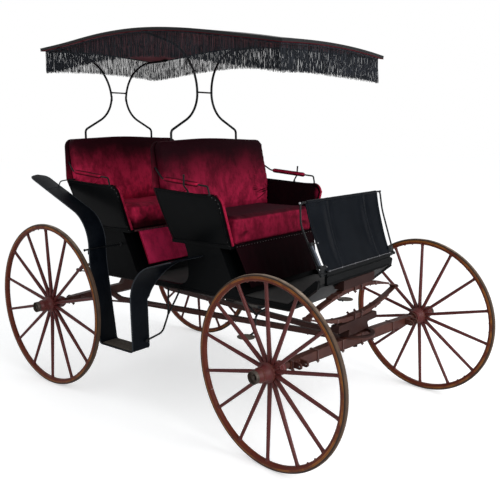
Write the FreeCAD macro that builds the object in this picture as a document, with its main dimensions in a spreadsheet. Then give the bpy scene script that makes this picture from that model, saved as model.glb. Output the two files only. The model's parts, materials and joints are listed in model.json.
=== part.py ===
import FreeCAD, Part
import math
import os
import Sketcher
from FreeCAD import Placement, Rotation, Vector

# A two-seat surrey with a fringed canopy: a sprung body on four wooden wheels, and a front
# axle that turns under a fifth wheel. Millimetres; +X is its left, -Y its front, +Z up.
# The ground is at Z = 0. Pieces are drawn with Y = 0 over the front axle, and moved as one
# so that the origin lies under the middle of the whole.

os.makedirs("parts", exist_ok=True)
doc = FreeCAD.newDocument("surrey")
sheet = doc.addObject("Spreadsheet::Sheet", "Sizes")

# Driving dimensions: alias, value, meaning.
drivingSizes = [
    ("trackWidth", 1422, "between the middles of the two tyres of an axle"),
    ("wheelBase", 1890, "front axle to rear axle"),
    ("frontRadius", 482.6, "front wheel, over the tyre"),
    ("rearRadius", 533.4, "rear wheel, over the tyre"),
    ("steerRest", -5.64, "degrees that the front axle stands turned, as it is parked"),
    ("tyreWidth", 26, "rubber tyre at the felloe"),
    ("treadWidth", 16, "rubber tyre at the ground"),
    ("tyreDepth", 14, "rubber tyre, tread to felloe"),
    ("felloeWidth", 30, "wooden rim, across"),
    ("felloeDepth", 34, "wooden rim, radially"),
    ("spokeCount", 14, "spokes of a wheel"),
    ("spokeRoot", 13, "spoke radius at the hub, over its corners"),
    ("spokeTip", 10, "spoke radius at the felloe, over its corners"),
    ("dish", 22, "spokes' roots inboard of the rim"),
    ("hubRadius", 52, "hub at the spokes"),
    ("hubShoulder", 26, "half width of the hub's flat for the spokes"),
    ("hubNeck", 36, "hub radius at its ends"),
    ("hubInner", 78, "spokes' roots to the hub's inner end"),
    ("hubOuter", 92, "spokes' roots to the hub's outer end"),
    ("capRadius", 30, "hub cap"),
    ("capLength", 30, "hub cap"),
    ("armRadius", 19, "axle arm"),
    ("runningFit", 0.1, "radial clearance of a turning fit"),
    ("seatGap", 0.3, "between pieces that lie against each other"),
    ("bedHalf", 560, "half length of an axle bed"),
    ("bedWidth", 45, "axle bed, front to back"),
    ("bedDrop", 20, "axle bed below the arms' middle"),
    ("bedRise", 32, "axle bed above the arms' middle"),
    ("bedEndRise", 22, "axle bed above the arms' middle, at its ends"),
    ("ringRadius", 100, "fifth wheel, middle of the ring"),
    ("ringWidth", 24, "fifth wheel's flat iron, across"),
    ("ringThick", 8, "fifth wheel's flat iron, thickness"),
    ("kingRadius", 8, "kingpin"),
    ("headHalf", 210, "half length of the head block's bar"),
    ("headBar", 40, "depth of the head block's bar"),
    ("headDepth", 77, "head block, fifth wheel to front spring"),
    ("rearBlock", 65.5, "rear axle bed to rear spring"),
    ("reachWidth", 26, "reach bars, across"),
    ("reachDepth", 30, "reach bars, height"),
    ("leafWidth", 38, "spring leaf, across"),
    ("leafThick", 6, "spring leaf, thickness"),
    ("leafCount", 4, "leaves of each half spring"),
    ("springHalf", 465, "half length of an elliptic spring"),
    ("frontArch", 71, "rise of the front spring's main leaf"),
    ("rearArch", 67, "rise of the rear spring's main leaf"),
    ("eyeRadius", 11, "spring eye"),
    ("frontNest", 94, "front spring's top above the body's underside"),
    ("rearNest", 109, "rear spring's top above the body's underside"),
    ("bodyHalf", 400, "half width of the body, over its sides"),
    ("sideThick", 22, "body side"),
    ("boardThick", 16, "floor, risers and back panel"),
    ("sillHeight", 32, "sill at the entrances, above the underside"),
    ("toeStart", 150, "where the underside turns up towards the dash"),
    ("toeEnd", -15, "front end of the underside"),
    ("toeRise", 138, "rise of the underside to its front end"),
    ("bolsterHalf", 165, "half length of the front bolster"),
    ("backBefore", 34, "foot of the rear seat's back before the rear axle"),
    ("seatRise", 20, "rear seat above the front seat"),
    ("seatHeight", 308, "front seat's board above the body's underside"),
    ("seatBoardThick", 18, "seat board"),
    ("seatFront", 545, "front edge of the front seat's board"),
    ("seatDepth", 455, "seat board's front edge to the back board's foot"),
    ("backLean", 9, "degrees that the back board leans"),
    ("backHeight", 580, "seat board to the back board's top corners"),
    ("backCrown", 20, "rise of the back board's top edge in its middle"),
    ("backHalf", 490, "half width of the back board at its top"),
    ("backCorner", 60, "radius of the back board's top corners"),
    ("panelThick", 12, "arm panels and back board"),
    ("armFoot", 415, "half width over the arm panels at the seat board"),
    ("armWaist", 77, "spread of the arm panels at two thirds of their height"),
    ("armSpread", 102, "spread of the arm panels at their top"),
    ("armHeight", 314, "rear top corner of the arm panels above the seat board"),
    ("armFrontHeight", 282, "front top corner of the arm panels above the seat board"),
    ("liningThick", 16, "velvet lining of the arm panels"),
    ("cushionHeight", 153, "seat cushion"),
    ("cushionGap", 3, "cushion to its neighbours at the sides"),
    ("squabFoot", 95, "back cushion's thickness at the seat"),
    ("squabTop", 58, "back cushion's thickness at its top"),
    ("fallHalfTop", 350, "half width of the fall at its top"),
    ("fallHalfFoot", 327, "half width of the fall at its foot"),
    ("frontFall", 235, "length of the front seat's fall"),
    ("rearFall", 222, "length of the rear seat's fall"),
    ("fallReach", 70, "fall's foot in front of its top"),
    ("fallThick", 8, "fall"),
    ("rodRadius", 6, "canopy irons, and irons of fenders and steps"),
    ("thinRod", 5, "arm rails and dash irons, radius"),
    ("railRise", 60, "arm rails above the arm panels"),
    ("padRadius", 16, "arm pads"),
    ("padLength", 270, "arm pads"),
    ("waistHalf", 66, "canopy irons' distance from the middle at their waist"),
    ("ironFoot", 304, "canopy irons' distance from the middle at their foot"),
    ("waistBend", 290, "canopy irons' bend between foot and waist, radius"),
    ("frontWaist", 309, "front irons' crossbar above the back board"),
    ("rearWaist", 330, "rear irons' crossbar above the back board"),
    ("canopyHalf", 514, "half width of the canopy"),
    ("canopyFront", 111, "front edge of the canopy"),
    ("canopyBehind", 301, "rear edge of the canopy behind the rear seat's back"),
    ("canopyThick", 20, "canopy's rim"),
    ("canopyCrown", 22, "rise of the canopy across its width"),
    ("fringeInset", 25, "fringe inboard of the canopy's edge"),
    ("fringeDrop", 150, "fringe"),
    ("fringeThick", 3, "fringe"),
    ("dashHalf", 340, "half width of the dash board, and of the leather's foot"),
    ("dashTopHalf", 373, "half width of the dash leather's top"),
    ("dashRise", 12, "dash board's foot above the underside's front end"),
    ("dashBoardHeight", 78, "dash board"),
    ("leatherHeight", 343, "dash leather"),
    ("leatherReach", 106, "dash leather's top behind its foot"),
    ("leatherSag", 18, "hollow of the dash leather"),
    ("leatherThick", 5, "leather of the dash and fenders"),
    ("fenderGap", 130, "fender's inner edge from the body side"),
    ("fenderWidth", 130, "fender"),
    ("treadDrop", 356, "step plate of the fenders below the body's underside"),
    ("stepDrop", 154, "front step plates below the body's underside"),
    ("stepReach", 108, "middle of the front step plates from the body side"),
    ("couplingHalf", 515, "shaft couplings' distance from the middle"),
    ("couplingHole", 6.5, "radius of the shaft couplings' pin holes"),
    ("socketRadius", 10, "whip socket, outside"),
    ("socketLength", 140, "whip socket"),
    ("socketBore", 8, "radius of the whip socket's bore"),
    ("socketLean", 9, "degrees that the whip socket leans outward, to clear the roof"),
]
for row, (alias, number, meaning) in enumerate(drivingSizes, 1):
    sheet.set("A%d" % row, alias)
    sheet.set("B%d" % row, str(number))
    sheet.set("C%d" % row, meaning)
    sheet.setAlias("B%d" % row, alias)
doc.recompute()


def value(expression):
    """Number that an expression over the sheet comes to."""
    return float(sheet.evalExpression(expression))


class Dimensions:
    """The sheet's cells as plain numbers."""


dim = Dimensions()
for alias, number, meaning in drivingSizes:
    setattr(dim, alias, value("Sizes." + alias))

# The whole is longest from the turned front wheel's rim to the rear wheels' rims.
turn = math.radians(abs(dim.steerRest))
frontReach = ((dim.trackWidth + dim.treadWidth) / 2 * math.sin(turn)
              + dim.frontRadius * math.cos(turn))
middle = (dim.wheelBase + dim.rearRadius - frontReach) / 2

# Heights of the gear above the ground, from the axles up to the springs' tops.
springStack = dim.leafCount * dim.leafThick
lowerRing = dim.frontRadius + dim.bedRise
upperRing = lowerRing + dim.ringThick + dim.seatGap
headBottom = upperRing + dim.ringThick
frontSpringFoot = headBottom + dim.headDepth
frontSpringTop = frontSpringFoot + 2 * (springStack + dim.frontArch)
rearSpringFoot = dim.rearRadius + dim.bedRise + dim.rearBlock
rearSpringTop = rearSpringFoot + 2 * (springStack + dim.rearArch)

# The body hangs on the higher of the two springs, and is drawn from its own underside.
underside = max(frontSpringTop - dim.frontNest, rearSpringTop - dim.rearNest)
groundPlace = Placement(Vector(0, -middle, 0), Rotation())
bodyPlace = Placement(Vector(0, -middle, underside), Rotation())
gearPlace = Placement(Vector(0, -middle, 0), Rotation(Vector(0, 0, 1), dim.steerRest))

# Places along the body.
backFoot = dim.seatFront + dim.seatDepth
seatPitch = dim.wheelBase - dim.backBefore - backFoot
bodyEnd = backFoot + seatPitch - 8
bodyInner = dim.bodyHalf - dim.sideThick
armTop = dim.armFoot + dim.armSpread

axisX = Vector(1, 0, 0)
axisY = Vector(0, 1, 0)
axisZ = Vector(0, 0, 1)
subParts = []


def keep(label, shape, place):
    """Sub-part whose shape is built by the functions below."""
    piece = doc.addObject("Part::Feature", label)
    piece.Shape = shape
    piece.Label = label
    piece.Placement = place.multiply(shape.Placement)
    subParts.append(piece)
    return piece


def originPlane(body, role):
    """One of a body's own origin planes or axes."""
    return [feature for feature in body.Origin.OriginFeatures if feature.Role == role][0]


def newSketch(body, role, name, offset="0"):
    """Sketch on a body's origin plane, moved off it by an expression."""
    sketch = body.newObject("Sketcher::SketchObject", name)
    sketch.AttachmentSupport = [(originPlane(body, role), "")]
    sketch.MapMode = "FlatFace"
    sketch.AttachmentOffset = Placement(Vector(0, 0, value(offset)), Rotation())
    sketch.setExpression("AttachmentOffset.Base.z", offset)
    return sketch


def addOutline(sketch, corners):
    """Closed outline whose corners are pairs of expressions, each bound to the sheet."""
    first = sketch.GeometryCount
    points = [Vector(value(across), value(along), 0) for across, along in corners]
    count = len(points)
    for index, point in enumerate(points):
        sketch.addGeometry(Part.LineSegment(point, points[(index + 1) % count]), False)
    for index, (across, along) in enumerate(corners):
        line = first + index
        following = first + (index + 1) % count
        sketch.addConstraint(Sketcher.Constraint("Coincident", line, 2, following, 1))
        for kind, expression, number, axis in (("DistanceX", across, points[index].x, -2),
                                               ("DistanceY", along, points[index].y, -1)):
            if expression == "0":
                sketch.addConstraint(Sketcher.Constraint("PointOnObject", line, 1, axis))
            else:
                constraint = sketch.addConstraint(Sketcher.Constraint(kind, -1, 1, line, 1, number))
                sketch.setExpression("Constraints[%d]" % constraint, expression)


def addPolygon(sketch, height, radius, sides):
    """Regular polygon about a point of the sketch's upright axis."""
    corners = []
    for index in range(sides):
        angle = 360.0 * (index + 0.5) / sides
        corners.append(("(%s) * cos(%g deg)" % (radius, angle),
                        "%s + (%s) * sin(%g deg)" % (height, radius, angle)))
    addOutline(sketch, corners)


def newBody(label, place):
    """Empty body with its label and place."""
    body = doc.addObject("PartDesign::Body", label)
    body.Label = label
    body.Placement = place
    subParts.append(body)
    return body


def turned(body, sketch, name):
    """Solid of revolution about the sketch's upright axis."""
    feature = body.newObject("PartDesign::Revolution", name)
    feature.Profile = sketch
    feature.ReferenceAxis = (sketch, ["V_Axis"])
    feature.Angle = 360
    return feature


def smooth(points, closed=False):
    """Interpolated curve through points."""
    curve = Part.BSplineCurve()
    curve.interpolate(points, PeriodicFlag=closed)
    return curve.toShape()


def bentPath(points, radii):
    """Straight runs through the points, joined by tangent arcs."""
    edges = []
    start = points[0]
    for before, corner, after, radius in zip(points, points[1:], points[2:], radii):
        backward = (before - corner).normalize()
        forward = (after - corner).normalize()
        half = backward.getAngle(forward) / 2
        reach = radius / math.tan(half)
        bisector = (backward + forward).normalize()
        nearest = corner + bisector * (radius / math.sin(half) - radius)
        arcStart = corner + backward * reach
        arcEnd = corner + forward * reach
        edges.append(Part.LineSegment(start, arcStart).toShape())
        edges.append(Part.Arc(arcStart, nearest, arcEnd).toShape())
        start = arcEnd
    edges.append(Part.LineSegment(start, points[-1]).toShape())
    return Part.Wire(edges)


def rod(points, radii, radius):
    """Round iron bent along a path, drawn with eight sides."""
    path = bentPath(points, radii)
    heading = (points[1] - points[0]).normalize()
    side = heading.cross(axisX if abs(heading.x) < 0.7 else axisY).normalize()
    up = heading.cross(side)
    over = radius / math.cos(math.pi / 8)
    corners = []
    for index in range(9):
        angle = math.pi * (index + 0.5) / 4
        corners.append(points[0] + side * (over * math.cos(angle)) + up * (over * math.sin(angle)))
    return path.makePipeShell([Part.makePolygon(corners)], True, False)


def flatBar(points, radii, width, thick, across):
    """Flat iron bent along a path, its width lying along one direction."""
    path = bentPath(points, radii)
    heading = (points[1] - points[0]).normalize()
    side = Vector(across).normalize()
    up = heading.cross(side).normalize()
    corners = [points[0] + side * (width / 2 * a) + up * (thick / 2 * b)
               for a, b in ((-1, -1), (1, -1), (1, 1), (-1, 1), (-1, -1))]
    return path.makePipeShell([Part.makePolygon(corners)], True, False)


def outlineFace(points, radii):
    """Flat face whose corners are rounded by the radii, 0 for a sharp one."""
    count = len(points)
    edges = []
    ends = []
    for index, (corner, radius) in enumerate(zip(points, radii)):
        before = points[index - 1]
        after = points[(index + 1) % count]
        if radius == 0:
            ends.append((corner, None, corner))
            continue
        backward = (before - corner).normalize()
        forward = (after - corner).normalize()
        half = backward.getAngle(forward) / 2
        reach = radius / math.tan(half)
        bisector = (backward + forward).normalize()
        nearest = corner + bisector * (radius / math.sin(half) - radius)
        ends.append((corner + backward * reach, nearest, corner + forward * reach))
    for index, (arcStart, nearest, arcEnd) in enumerate(ends):
        if nearest is not None:
            edges.append(Part.Arc(arcStart, nearest, arcEnd).toShape())
        following = ends[(index + 1) % count][0]
        if arcEnd.distanceToPoint(following) > 1e-6:
            edges.append(Part.LineSegment(arcEnd, following).toShape())
    return Part.Face(Part.Wire(edges))


def sideView(corners, fromX, toX):
    """Solid with the given outline in side view (Y, Z, radius), between two values of X."""
    points = [Vector(fromX, along, up) for along, up, radius in corners]
    face = outlineFace(points, [radius for along, up, radius in corners])
    return face.extrude(Vector(toX - fromX, 0, 0))


def frontView(corners, fromY, toY):
    """Solid with the given outline in front view (X, Z, radius), between two values of Y."""
    points = [Vector(across, fromY, up) for across, up, radius in corners]
    face = outlineFace(points, [radius for across, up, radius in corners])
    return face.extrude(Vector(0, toY - fromY, 0))


def block(fromX, toX, fromY, toY, fromZ, toZ):
    """Box between limits."""
    box = Part.makeBox(toX - fromX, toY - fromY, toZ - fromZ)
    box.translate(Vector(fromX, fromY, fromZ))
    return box


def mirrored(shape):
    """The same piece on the other side."""
    return shape.mirror(Vector(0, 0, 0), axisX)


def bothSides(shape):
    """The piece and its mirror image, as solids that don't touch."""
    return Part.makeCompound([shape, mirrored(shape)])


def joined(shapes):
    """One solid of several."""
    whole = shapes[0].fuse(shapes[1:])
    return whole.removeSplitter()


# Wheels

def makeWheel(label, radius, place):
    """Turned hub and felloe ring, joined by tapered spokes that stand dished."""
    body = newBody(label, place)
    sketch = newSketch(body, "XZ_Plane", label + "_section")
    rimOut = "%s - Sizes.tyreDepth" % radius
    rimIn = "%s - Sizes.tyreDepth - Sizes.felloeDepth" % radius
    halfRim = "Sizes.felloeWidth / 2"
    addOutline(sketch, [(rimIn, "-" + halfRim), (rimOut, "-" + halfRim),
                        (rimOut, halfRim), (rimIn, halfRim)])
    bore = "Sizes.armRadius + Sizes.runningFit"
    innerEnd = "-Sizes.dish - Sizes.hubInner"
    outerEnd = "-Sizes.dish + Sizes.hubOuter"
    capEnd = "-Sizes.dish + Sizes.hubOuter + Sizes.capLength"
    addOutline(sketch, [
        (bore, innerEnd), ("Sizes.hubNeck", innerEnd),
        ("Sizes.hubNeck", innerEnd + " + 18"),
        ("Sizes.hubRadius", "-Sizes.dish - Sizes.hubShoulder"),
        ("Sizes.hubRadius", "-Sizes.dish + Sizes.hubShoulder"),
        ("Sizes.hubNeck", outerEnd + " - 24"), ("Sizes.hubNeck", outerEnd),
        ("Sizes.capRadius", outerEnd), ("Sizes.capRadius", capEnd),
        ("0", capEnd), ("0", outerEnd + " + 6"), (bore, outerEnd + " + 6")])
    turned(body, sketch, label + "_turned")
    root = newSketch(body, "YZ_Plane", label + "_spoke_root", "Sizes.hubRadius - 8")
    addPolygon(root, "-Sizes.dish", "Sizes.spokeRoot", 8)
    tip = newSketch(body, "YZ_Plane", label + "_spoke_tip", rimIn + " + 6")
    addPolygon(tip, "0", "Sizes.spokeTip", 8)
    spoke = body.newObject("PartDesign::AdditiveLoft", label + "_spoke")
    spoke.Profile = root
    spoke.Sections = [tip]
    spoke.Ruled = True
    doc.recompute()
    spokes = body.newObject("PartDesign::PolarPattern", label + "_spokes")
    spokes.Originals = [spoke]
    spokes.Axis = (originPlane(body, "Z_Axis"), [""])
    spokes.Angle = 360
    spokes.setExpression("Occurrences", "Sizes.spokeCount")
    body.Tip = spokes


def makeTyre(label, radius, place):
    """Rubber tyre, narrower at the tread than in its channel."""
    body = newBody(label, place)
    sketch = newSketch(body, "XZ_Plane", label + "_section")
    inner = "%s - Sizes.tyreDepth" % radius
    half = "Sizes.tyreWidth / 2"
    tread = "Sizes.treadWidth / 2"
    addOutline(sketch, [(inner, "-" + half), (radius, "-" + tread), (radius, tread), (inner, half)])
    turned(body, sketch, label + "_ring")


def makeWheels():
    """The four wheels, each with its tyre, on the ends of their axles."""
    for axle, radius, parent, along in (("front", "Sizes.frontRadius", gearPlace, 0),
                                        ("rear", "Sizes.rearRadius", groundPlace, dim.wheelBase)):
        for side, sign in (("left", 1), ("right", -1)):
            seat = Placement(Vector(sign * dim.trackWidth / 2, along, value(radius)),
                             Rotation(axisY, sign * 90))
            place = parent.multiply(seat)
            makeWheel("wheel_%s_%s" % (axle, side), radius, place)
            makeTyre("tyre_%s_%s" % (axle, side), radius, place)


# Axles, fifth wheel, springs and reaches

def axleBed(along, height):
    """Wooden bed with the iron arms that the wheels turn on."""
    half = dim.bedWidth / 2
    bottom = height - dim.bedDrop
    top = height + dim.bedRise
    end = dim.bedHalf
    shoulder = height + dim.bedEndRise
    bed = frontView([(-end, bottom, 0), (end, bottom, 0), (end, shoulder, 0), (0.35 * end, top, 300),
                     (-0.35 * end, top, 300), (-end, shoulder, 0)], along - half, along + half)
    armEnd = dim.trackWidth / 2 - dim.dish + dim.hubOuter
    arm = Part.makeCylinder(dim.armRadius, 2 * armEnd, Vector(-armEnd, along, height), axisX)
    collarEnd = dim.trackWidth / 2 - dim.dish - dim.hubInner - dim.seatGap
    collar = Part.makeCylinder(dim.hubNeck - 6, 12, Vector(collarEnd - 12, along, height), axisX)
    return joined([bed, arm, collar, mirrored(collar)])


def shaftCoupling(across):
    """Two ears in front of the axle, drilled for the pin of a shaft."""
    gap = 20
    ear = 10
    height = dim.frontRadius
    front = -dim.bedWidth / 2
    pinPlace = front - 38
    outline = [(front, height - 14, 0), (front, height + 18, 0),
               (pinPlace - 16, height + 16, 15), (pinPlace - 16, height - 16, 15)]
    ears = [sideView(outline, across + start, across + start + ear) for start in (-gap - ear, gap)]
    plate = block(across - gap - ear, across + gap + ear, front - 6, front, height - 14, height + 18)
    hole = Part.makeCylinder(dim.couplingHole, 100, Vector(across - 50, pinPlace, height), axisX)
    return joined([plate] + ears).cut(hole)


def ring(bottom):
    """One flat iron ring of the fifth wheel."""
    outer = Part.makeCylinder(dim.ringRadius + dim.ringWidth / 2, dim.ringThick, Vector(0, 0, bottom))
    inner = Part.makeCylinder(dim.ringRadius - dim.ringWidth / 2, dim.ringThick, Vector(0, 0, bottom))
    return outer.cut(inner)


def makeFrontGear():
    """Front axle with the lower fifth wheel, and its shaft couplings."""
    bore = Part.makeCylinder(dim.kingRadius + dim.runningFit, 200, Vector(0, 0, dim.frontRadius - 100))
    bed = axleBed(0, dim.frontRadius).cut(bore)
    keep("front_axle", bed, gearPlace)
    keep("fifth_wheel_lower", ring(lowerRing), gearPlace)
    keep("shaft_couplings", bothSides(shaftCoupling(dim.couplingHalf)), gearPlace)


# The yoke that holds the reaches stands inside the turning ring.
yokeHalf = 38
yokeBack = math.sqrt((dim.ringRadius - dim.ringWidth / 2 - 6) ** 2 - yokeHalf ** 2)
yokeFront = yokeBack - 24


def makeHeadBlock():
    """Block that carries the front spring, with the upper fifth wheel and the kingpin."""
    half = dim.bedWidth / 2 + 3
    neck = dim.ringRadius + dim.ringWidth / 2
    barFoot = frontSpringFoot - dim.headBar
    head = frontView([(-neck, headBottom, 0), (neck, headBottom, 0), (neck - 16, barFoot, 8),
                      (dim.headHalf, barFoot, 10), (dim.headHalf - 8, frontSpringFoot, 10),
                      (8 - dim.headHalf, frontSpringFoot, 10), (-dim.headHalf, barFoot, 10),
                      (16 - neck, barFoot, 8)], -half, half)
    pinFoot = dim.frontRadius - dim.bedDrop - 20
    pin = Part.makeCylinder(dim.kingRadius, headBottom + 10 - pinFoot, Vector(0, 0, pinFoot))
    nut = Part.makeCylinder(dim.kingRadius + 8, 12, Vector(0, 0, pinFoot))
    yokePlate = block(-30, 30, 0, yokeBack, upperRing, headBottom)
    yoke = block(-yokeHalf, yokeHalf, yokeFront, yokeBack, dim.frontRadius - 6, headBottom)
    keep("head_block", joined([head, ring(upperRing), pin, nut, yokePlate, yoke]), groundPlace)


def halfSpring(along, eyeHeight, arch, upward):
    """Pack of leaves, each outer one shorter, arched away from the eyes."""
    radius = (dim.springHalf ** 2 + arch ** 2) / (2 * arch)
    centre = Vector(0, along - dim.leafWidth / 2, eyeHeight + upward * (arch - radius))
    leaves = []
    for index in range(int(dim.leafCount)):
        reach = dim.springHalf * (1 - index / (dim.leafCount + 0.6))
        angle = math.asin(reach / radius)
        inner = radius + index * dim.leafThick
        outer = inner + dim.leafThick
        rim = []
        for size in (inner, outer):
            rim.append([centre + Vector(size * math.sin(turnBy), 0, upward * size * math.cos(turnBy))
                        for turnBy in (-angle, 0, angle)])
        (innerStart, innerMid, innerEnd), (outerStart, outerMid, outerEnd) = rim
        outline = Part.Wire([Part.Arc(innerStart, innerMid, innerEnd).toShape(),
                             Part.LineSegment(innerEnd, outerEnd).toShape(),
                             Part.Arc(outerEnd, outerMid, outerStart).toShape(),
                             Part.LineSegment(outerStart, innerStart).toShape()])
        leaves.append(Part.Face(outline).extrude(Vector(0, dim.leafWidth, 0)))
    return leaves


def makeSpring(label, along, foot, arch):
    """Full elliptic spring: two arched packs joined at rolled eyes."""
    eyeHeight = foot + springStack + arch
    leaves = halfSpring(along, eyeHeight, arch, 1) + halfSpring(along, eyeHeight, arch, -1)
    eyes = [Part.makeCylinder(dim.eyeRadius, dim.leafWidth,
                              Vector(side * dim.springHalf, along - dim.leafWidth / 2, eyeHeight), axisY)
            for side in (-1, 1)]
    keep(label, joined(leaves + eyes), groundPlace)


def makeReaches():
    """Two bars that tie the rear axle to the head block."""
    height = dim.frontRadius + 8
    rearFace = dim.wheelBase - dim.bedWidth / 2 - dim.seatGap
    start = yokeBack + dim.seatGap
    bars = []
    for side in (-1, 1):
        points = [Vector(side * 22, start - 10, height), Vector(side * 222, rearFace - 110, height),
                  Vector(side * 232, rearFace + 20, dim.rearRadius + 10)]
        bar = flatBar(points, [120], dim.reachWidth, dim.reachDepth, axisX)
        bars.append(bar.common(block(-300, 300, start, rearFace, 0, 1000)))
    keep("reaches", Part.makeCompound(bars), groundPlace)


def makeRearAxle():
    """Rear axle with the block that the spring stands on."""
    bed = axleBed(dim.wheelBase, dim.rearRadius)
    half = dim.bedWidth / 2
    bottom = dim.rearRadius + dim.bedRise - 1
    seat = frontView([(-110, bottom, 0), (110, bottom, 0), (60, rearSpringFoot, 0),
                      (-60, rearSpringFoot, 0)], dim.wheelBase - half, dim.wheelBase + half)
    keep("rear_axle", joined([bed, seat]), groundPlace)


floorBottom = 2
floorTop = floorBottom + dim.boardThick
toeLip = dim.toeRise + 6
toeSlope = (toeLip - floorBottom) / (dim.toeStart - dim.toeEnd + 1)


def makeBolsters():
    """Cross bars between the springs and the body, the rear one on two body loops."""
    foot = frontSpringTop - underside
    lip = toeLip - 1.5 * dim.seatGap
    rise = lip - (31 - dim.toeEnd) * toeSlope
    front = sideView([(-30, foot, 0), (30, foot, 0), (30, rise, 0), (dim.toeEnd - 1, lip, 0),
                      (-30, lip, 0)], -dim.bolsterHalf, dim.bolsterHalf)
    keep("front_bolster", front, bodyPlace)
    foot = rearSpringTop - underside
    barFront = bodyEnd + dim.seatGap
    half = bodyInner - 6
    bar = block(-half, half, barFront, dim.wheelBase + dim.bedWidth / 2, foot, foot + 34)
    loops = []
    loopX = dim.bodyHalf - 60
    loopThick = 12
    level = floorBottom - dim.seatGap - loopThick / 2
    for side in (-1, 1):
        points = [Vector(side * loopX, bodyEnd - 300, level),
                  Vector(side * loopX, barFront + loopThick / 2, level),
                  Vector(side * loopX, barFront + loopThick / 2, foot + 10)]
        loops.append(flatBar(points, [loopThick / 2 + 0.6], 36, loopThick, axisX))
    keep("rear_bolster", joined([bar] + loops), bodyPlace)


# Body

def makeBodySides():
    """Side panels with quarter-round entrances before each seat."""
    seatUnder = dim.seatHeight - dim.seatBoardThick
    rearUnder = seatUnder + dim.seatRise
    sill = dim.sillHeight
    rearFront = dim.seatFront + seatPitch
    outline = [
        (dim.toeEnd, dim.toeRise, 0), (dim.toeStart, 0, 60), (bodyEnd, 0, 0),
        (bodyEnd, rearUnder, 0), (rearFront + 89, rearUnder, 20), (rearFront - 49, sill, 90),
        (backFoot - 104, sill, 80), (backFoot - 100, seatUnder - 64, 20),
        (backFoot - 75, seatUnder, 0), (dim.seatFront + 97, seatUnder, 20),
        (dim.seatFront - 25, sill, 110), (dim.toeStart + 22, sill, 60),
        (dim.toeEnd - 11, dim.toeRise + 62, 10)]
    keep("body_side_left", sideView(outline, bodyInner, dim.bodyHalf), bodyPlace)
    keep("body_side_right", sideView(outline, -dim.bodyHalf, -bodyInner), bodyPlace)


def makeFloor():
    """Floor with the sloping toe board, and the panel that closes the rear end."""
    panelFront = bodyEnd - dim.boardThick
    floor = sideView([(dim.toeEnd - 1, toeLip, 0), (dim.toeStart, floorBottom, 30),
                      (panelFront, floorBottom, 0), (panelFront, floorTop, 0),
                      (dim.toeStart + 7, floorTop, 30), (dim.toeEnd - 6, toeLip + dim.boardThick, 0)],
                     -bodyInner, bodyInner)
    keep("floor", floor, bodyPlace)
    top = dim.seatHeight - dim.seatBoardThick + dim.seatRise
    keep("body_back_panel", block(-bodyInner, bodyInner, panelFront, bodyEnd, floorBottom, top), bodyPlace)


def makeDash():
    """Dash board, leather apron, the iron frame that holds it and the whip socket."""
    bottom = dim.toeRise + dim.dashRise
    top = bottom + dim.dashBoardHeight
    face = dim.toeEnd - 6 - dim.seatGap
    board = block(-dim.dashHalf, dim.dashHalf, face - dim.boardThick, face, bottom, top)
    keep("dash_board", board, bodyPlace)
    half = dim.dashTopHalf
    thick = dim.leatherThick
    foot = face - 11
    crest = foot + dim.leatherReach
    high = top + dim.leatherHeight
    middleY = (foot + crest) / 2 + dim.leatherSag
    arcs = []
    for shift in (0, thick):
        arcs.append([Vector(-half, along + shift, up) for along, up in
                     ((foot, top), (middleY, (top + high) / 2), (crest, high))])
    outline = Part.Wire([Part.Arc(*arcs[0]).toShape(), Part.LineSegment(arcs[0][2], arcs[1][2]).toShape(),
                         Part.Arc(*reversed(arcs[1])).toShape(),
                         Part.LineSegment(arcs[1][0], arcs[0][0]).toShape()])
    taper = frontView([(-dim.dashHalf, top - 1, 0), (dim.dashHalf, top - 1, 0), (half, high + 1, 0),
                       (-half, high + 1, 0)], foot - 100, crest + 100)
    leather = Part.Face(outline).extrude(Vector(2 * half, 0, 0))
    keep("dash_leather", leather.common(taper), bodyPlace)
    x = dim.bodyHalf - 8
    end = dim.dashHalf + dim.seatGap
    bar = high + dim.thinRod / math.cos(math.pi / 8) + dim.seatGap
    bendHeight = top + 0.7 * dim.leatherHeight
    side = [Vector(-end, foot + 2, top - 12), Vector(-x, foot + 2, top - 12),
            Vector(-x - 34, crest - 8, bendHeight), Vector(-dim.dashTopHalf - 42, crest + 2, bar)]
    points = side + [Vector(-point.x, point.y, point.z) for point in reversed(side)]
    keep("dash_irons", rod(points, [8, 160, 20, 20, 160, 8], dim.thinRod), bodyPlace)
    along = Vector(0, side[2].y - side[1].y, side[2].z - side[1].z).normalize()
    reach = dim.thinRod / math.cos(math.pi / 8) + dim.socketRadius + dim.seatGap
    share = (30 + dim.socketLength / 2) / (side[2] - side[1]).Length
    crossing = side[1] + (side[2] - side[1]) * share - along.cross(axisX) * reach
    heading = (along - axisX * math.tan(math.radians(dim.socketLean))).normalize()
    base = crossing - heading * (dim.socketLength / 2)
    tube = Part.makeCylinder(dim.socketRadius, dim.socketLength, base, heading)
    closed = 8
    bore = Part.makeCylinder(dim.socketBore, dim.socketLength - closed, base + heading * closed, heading)
    keep("whip_socket", tube.cut(bore), bodyPlace)


# Seats

leanSlope = math.tan(math.radians(dim.backLean))


def flaredWall(boardTop, near, far, fromY, toY):
    """Wall that flares outward as it rises, between two depths under the arm's outer face."""
    def line(depth):
        return [Vector(dim.armFoot + spread - depth, fromY, boardTop + up) for spread, up in
                ((0, 0), (dim.armWaist, dim.armHeight * 0.67), (dim.armSpread, dim.armHeight + 6))]
    outside = line(near)
    inside = line(far)
    outline = Part.Wire([Part.Arc(*outside).toShape(), Part.LineSegment(outside[2], inside[2]).toShape(),
                         Part.Arc(*reversed(inside)).toShape(),
                         Part.LineSegment(inside[0], outside[0]).toShape()])
    return Part.Face(outline).extrude(Vector(0, toY - fromY, 0))


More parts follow.
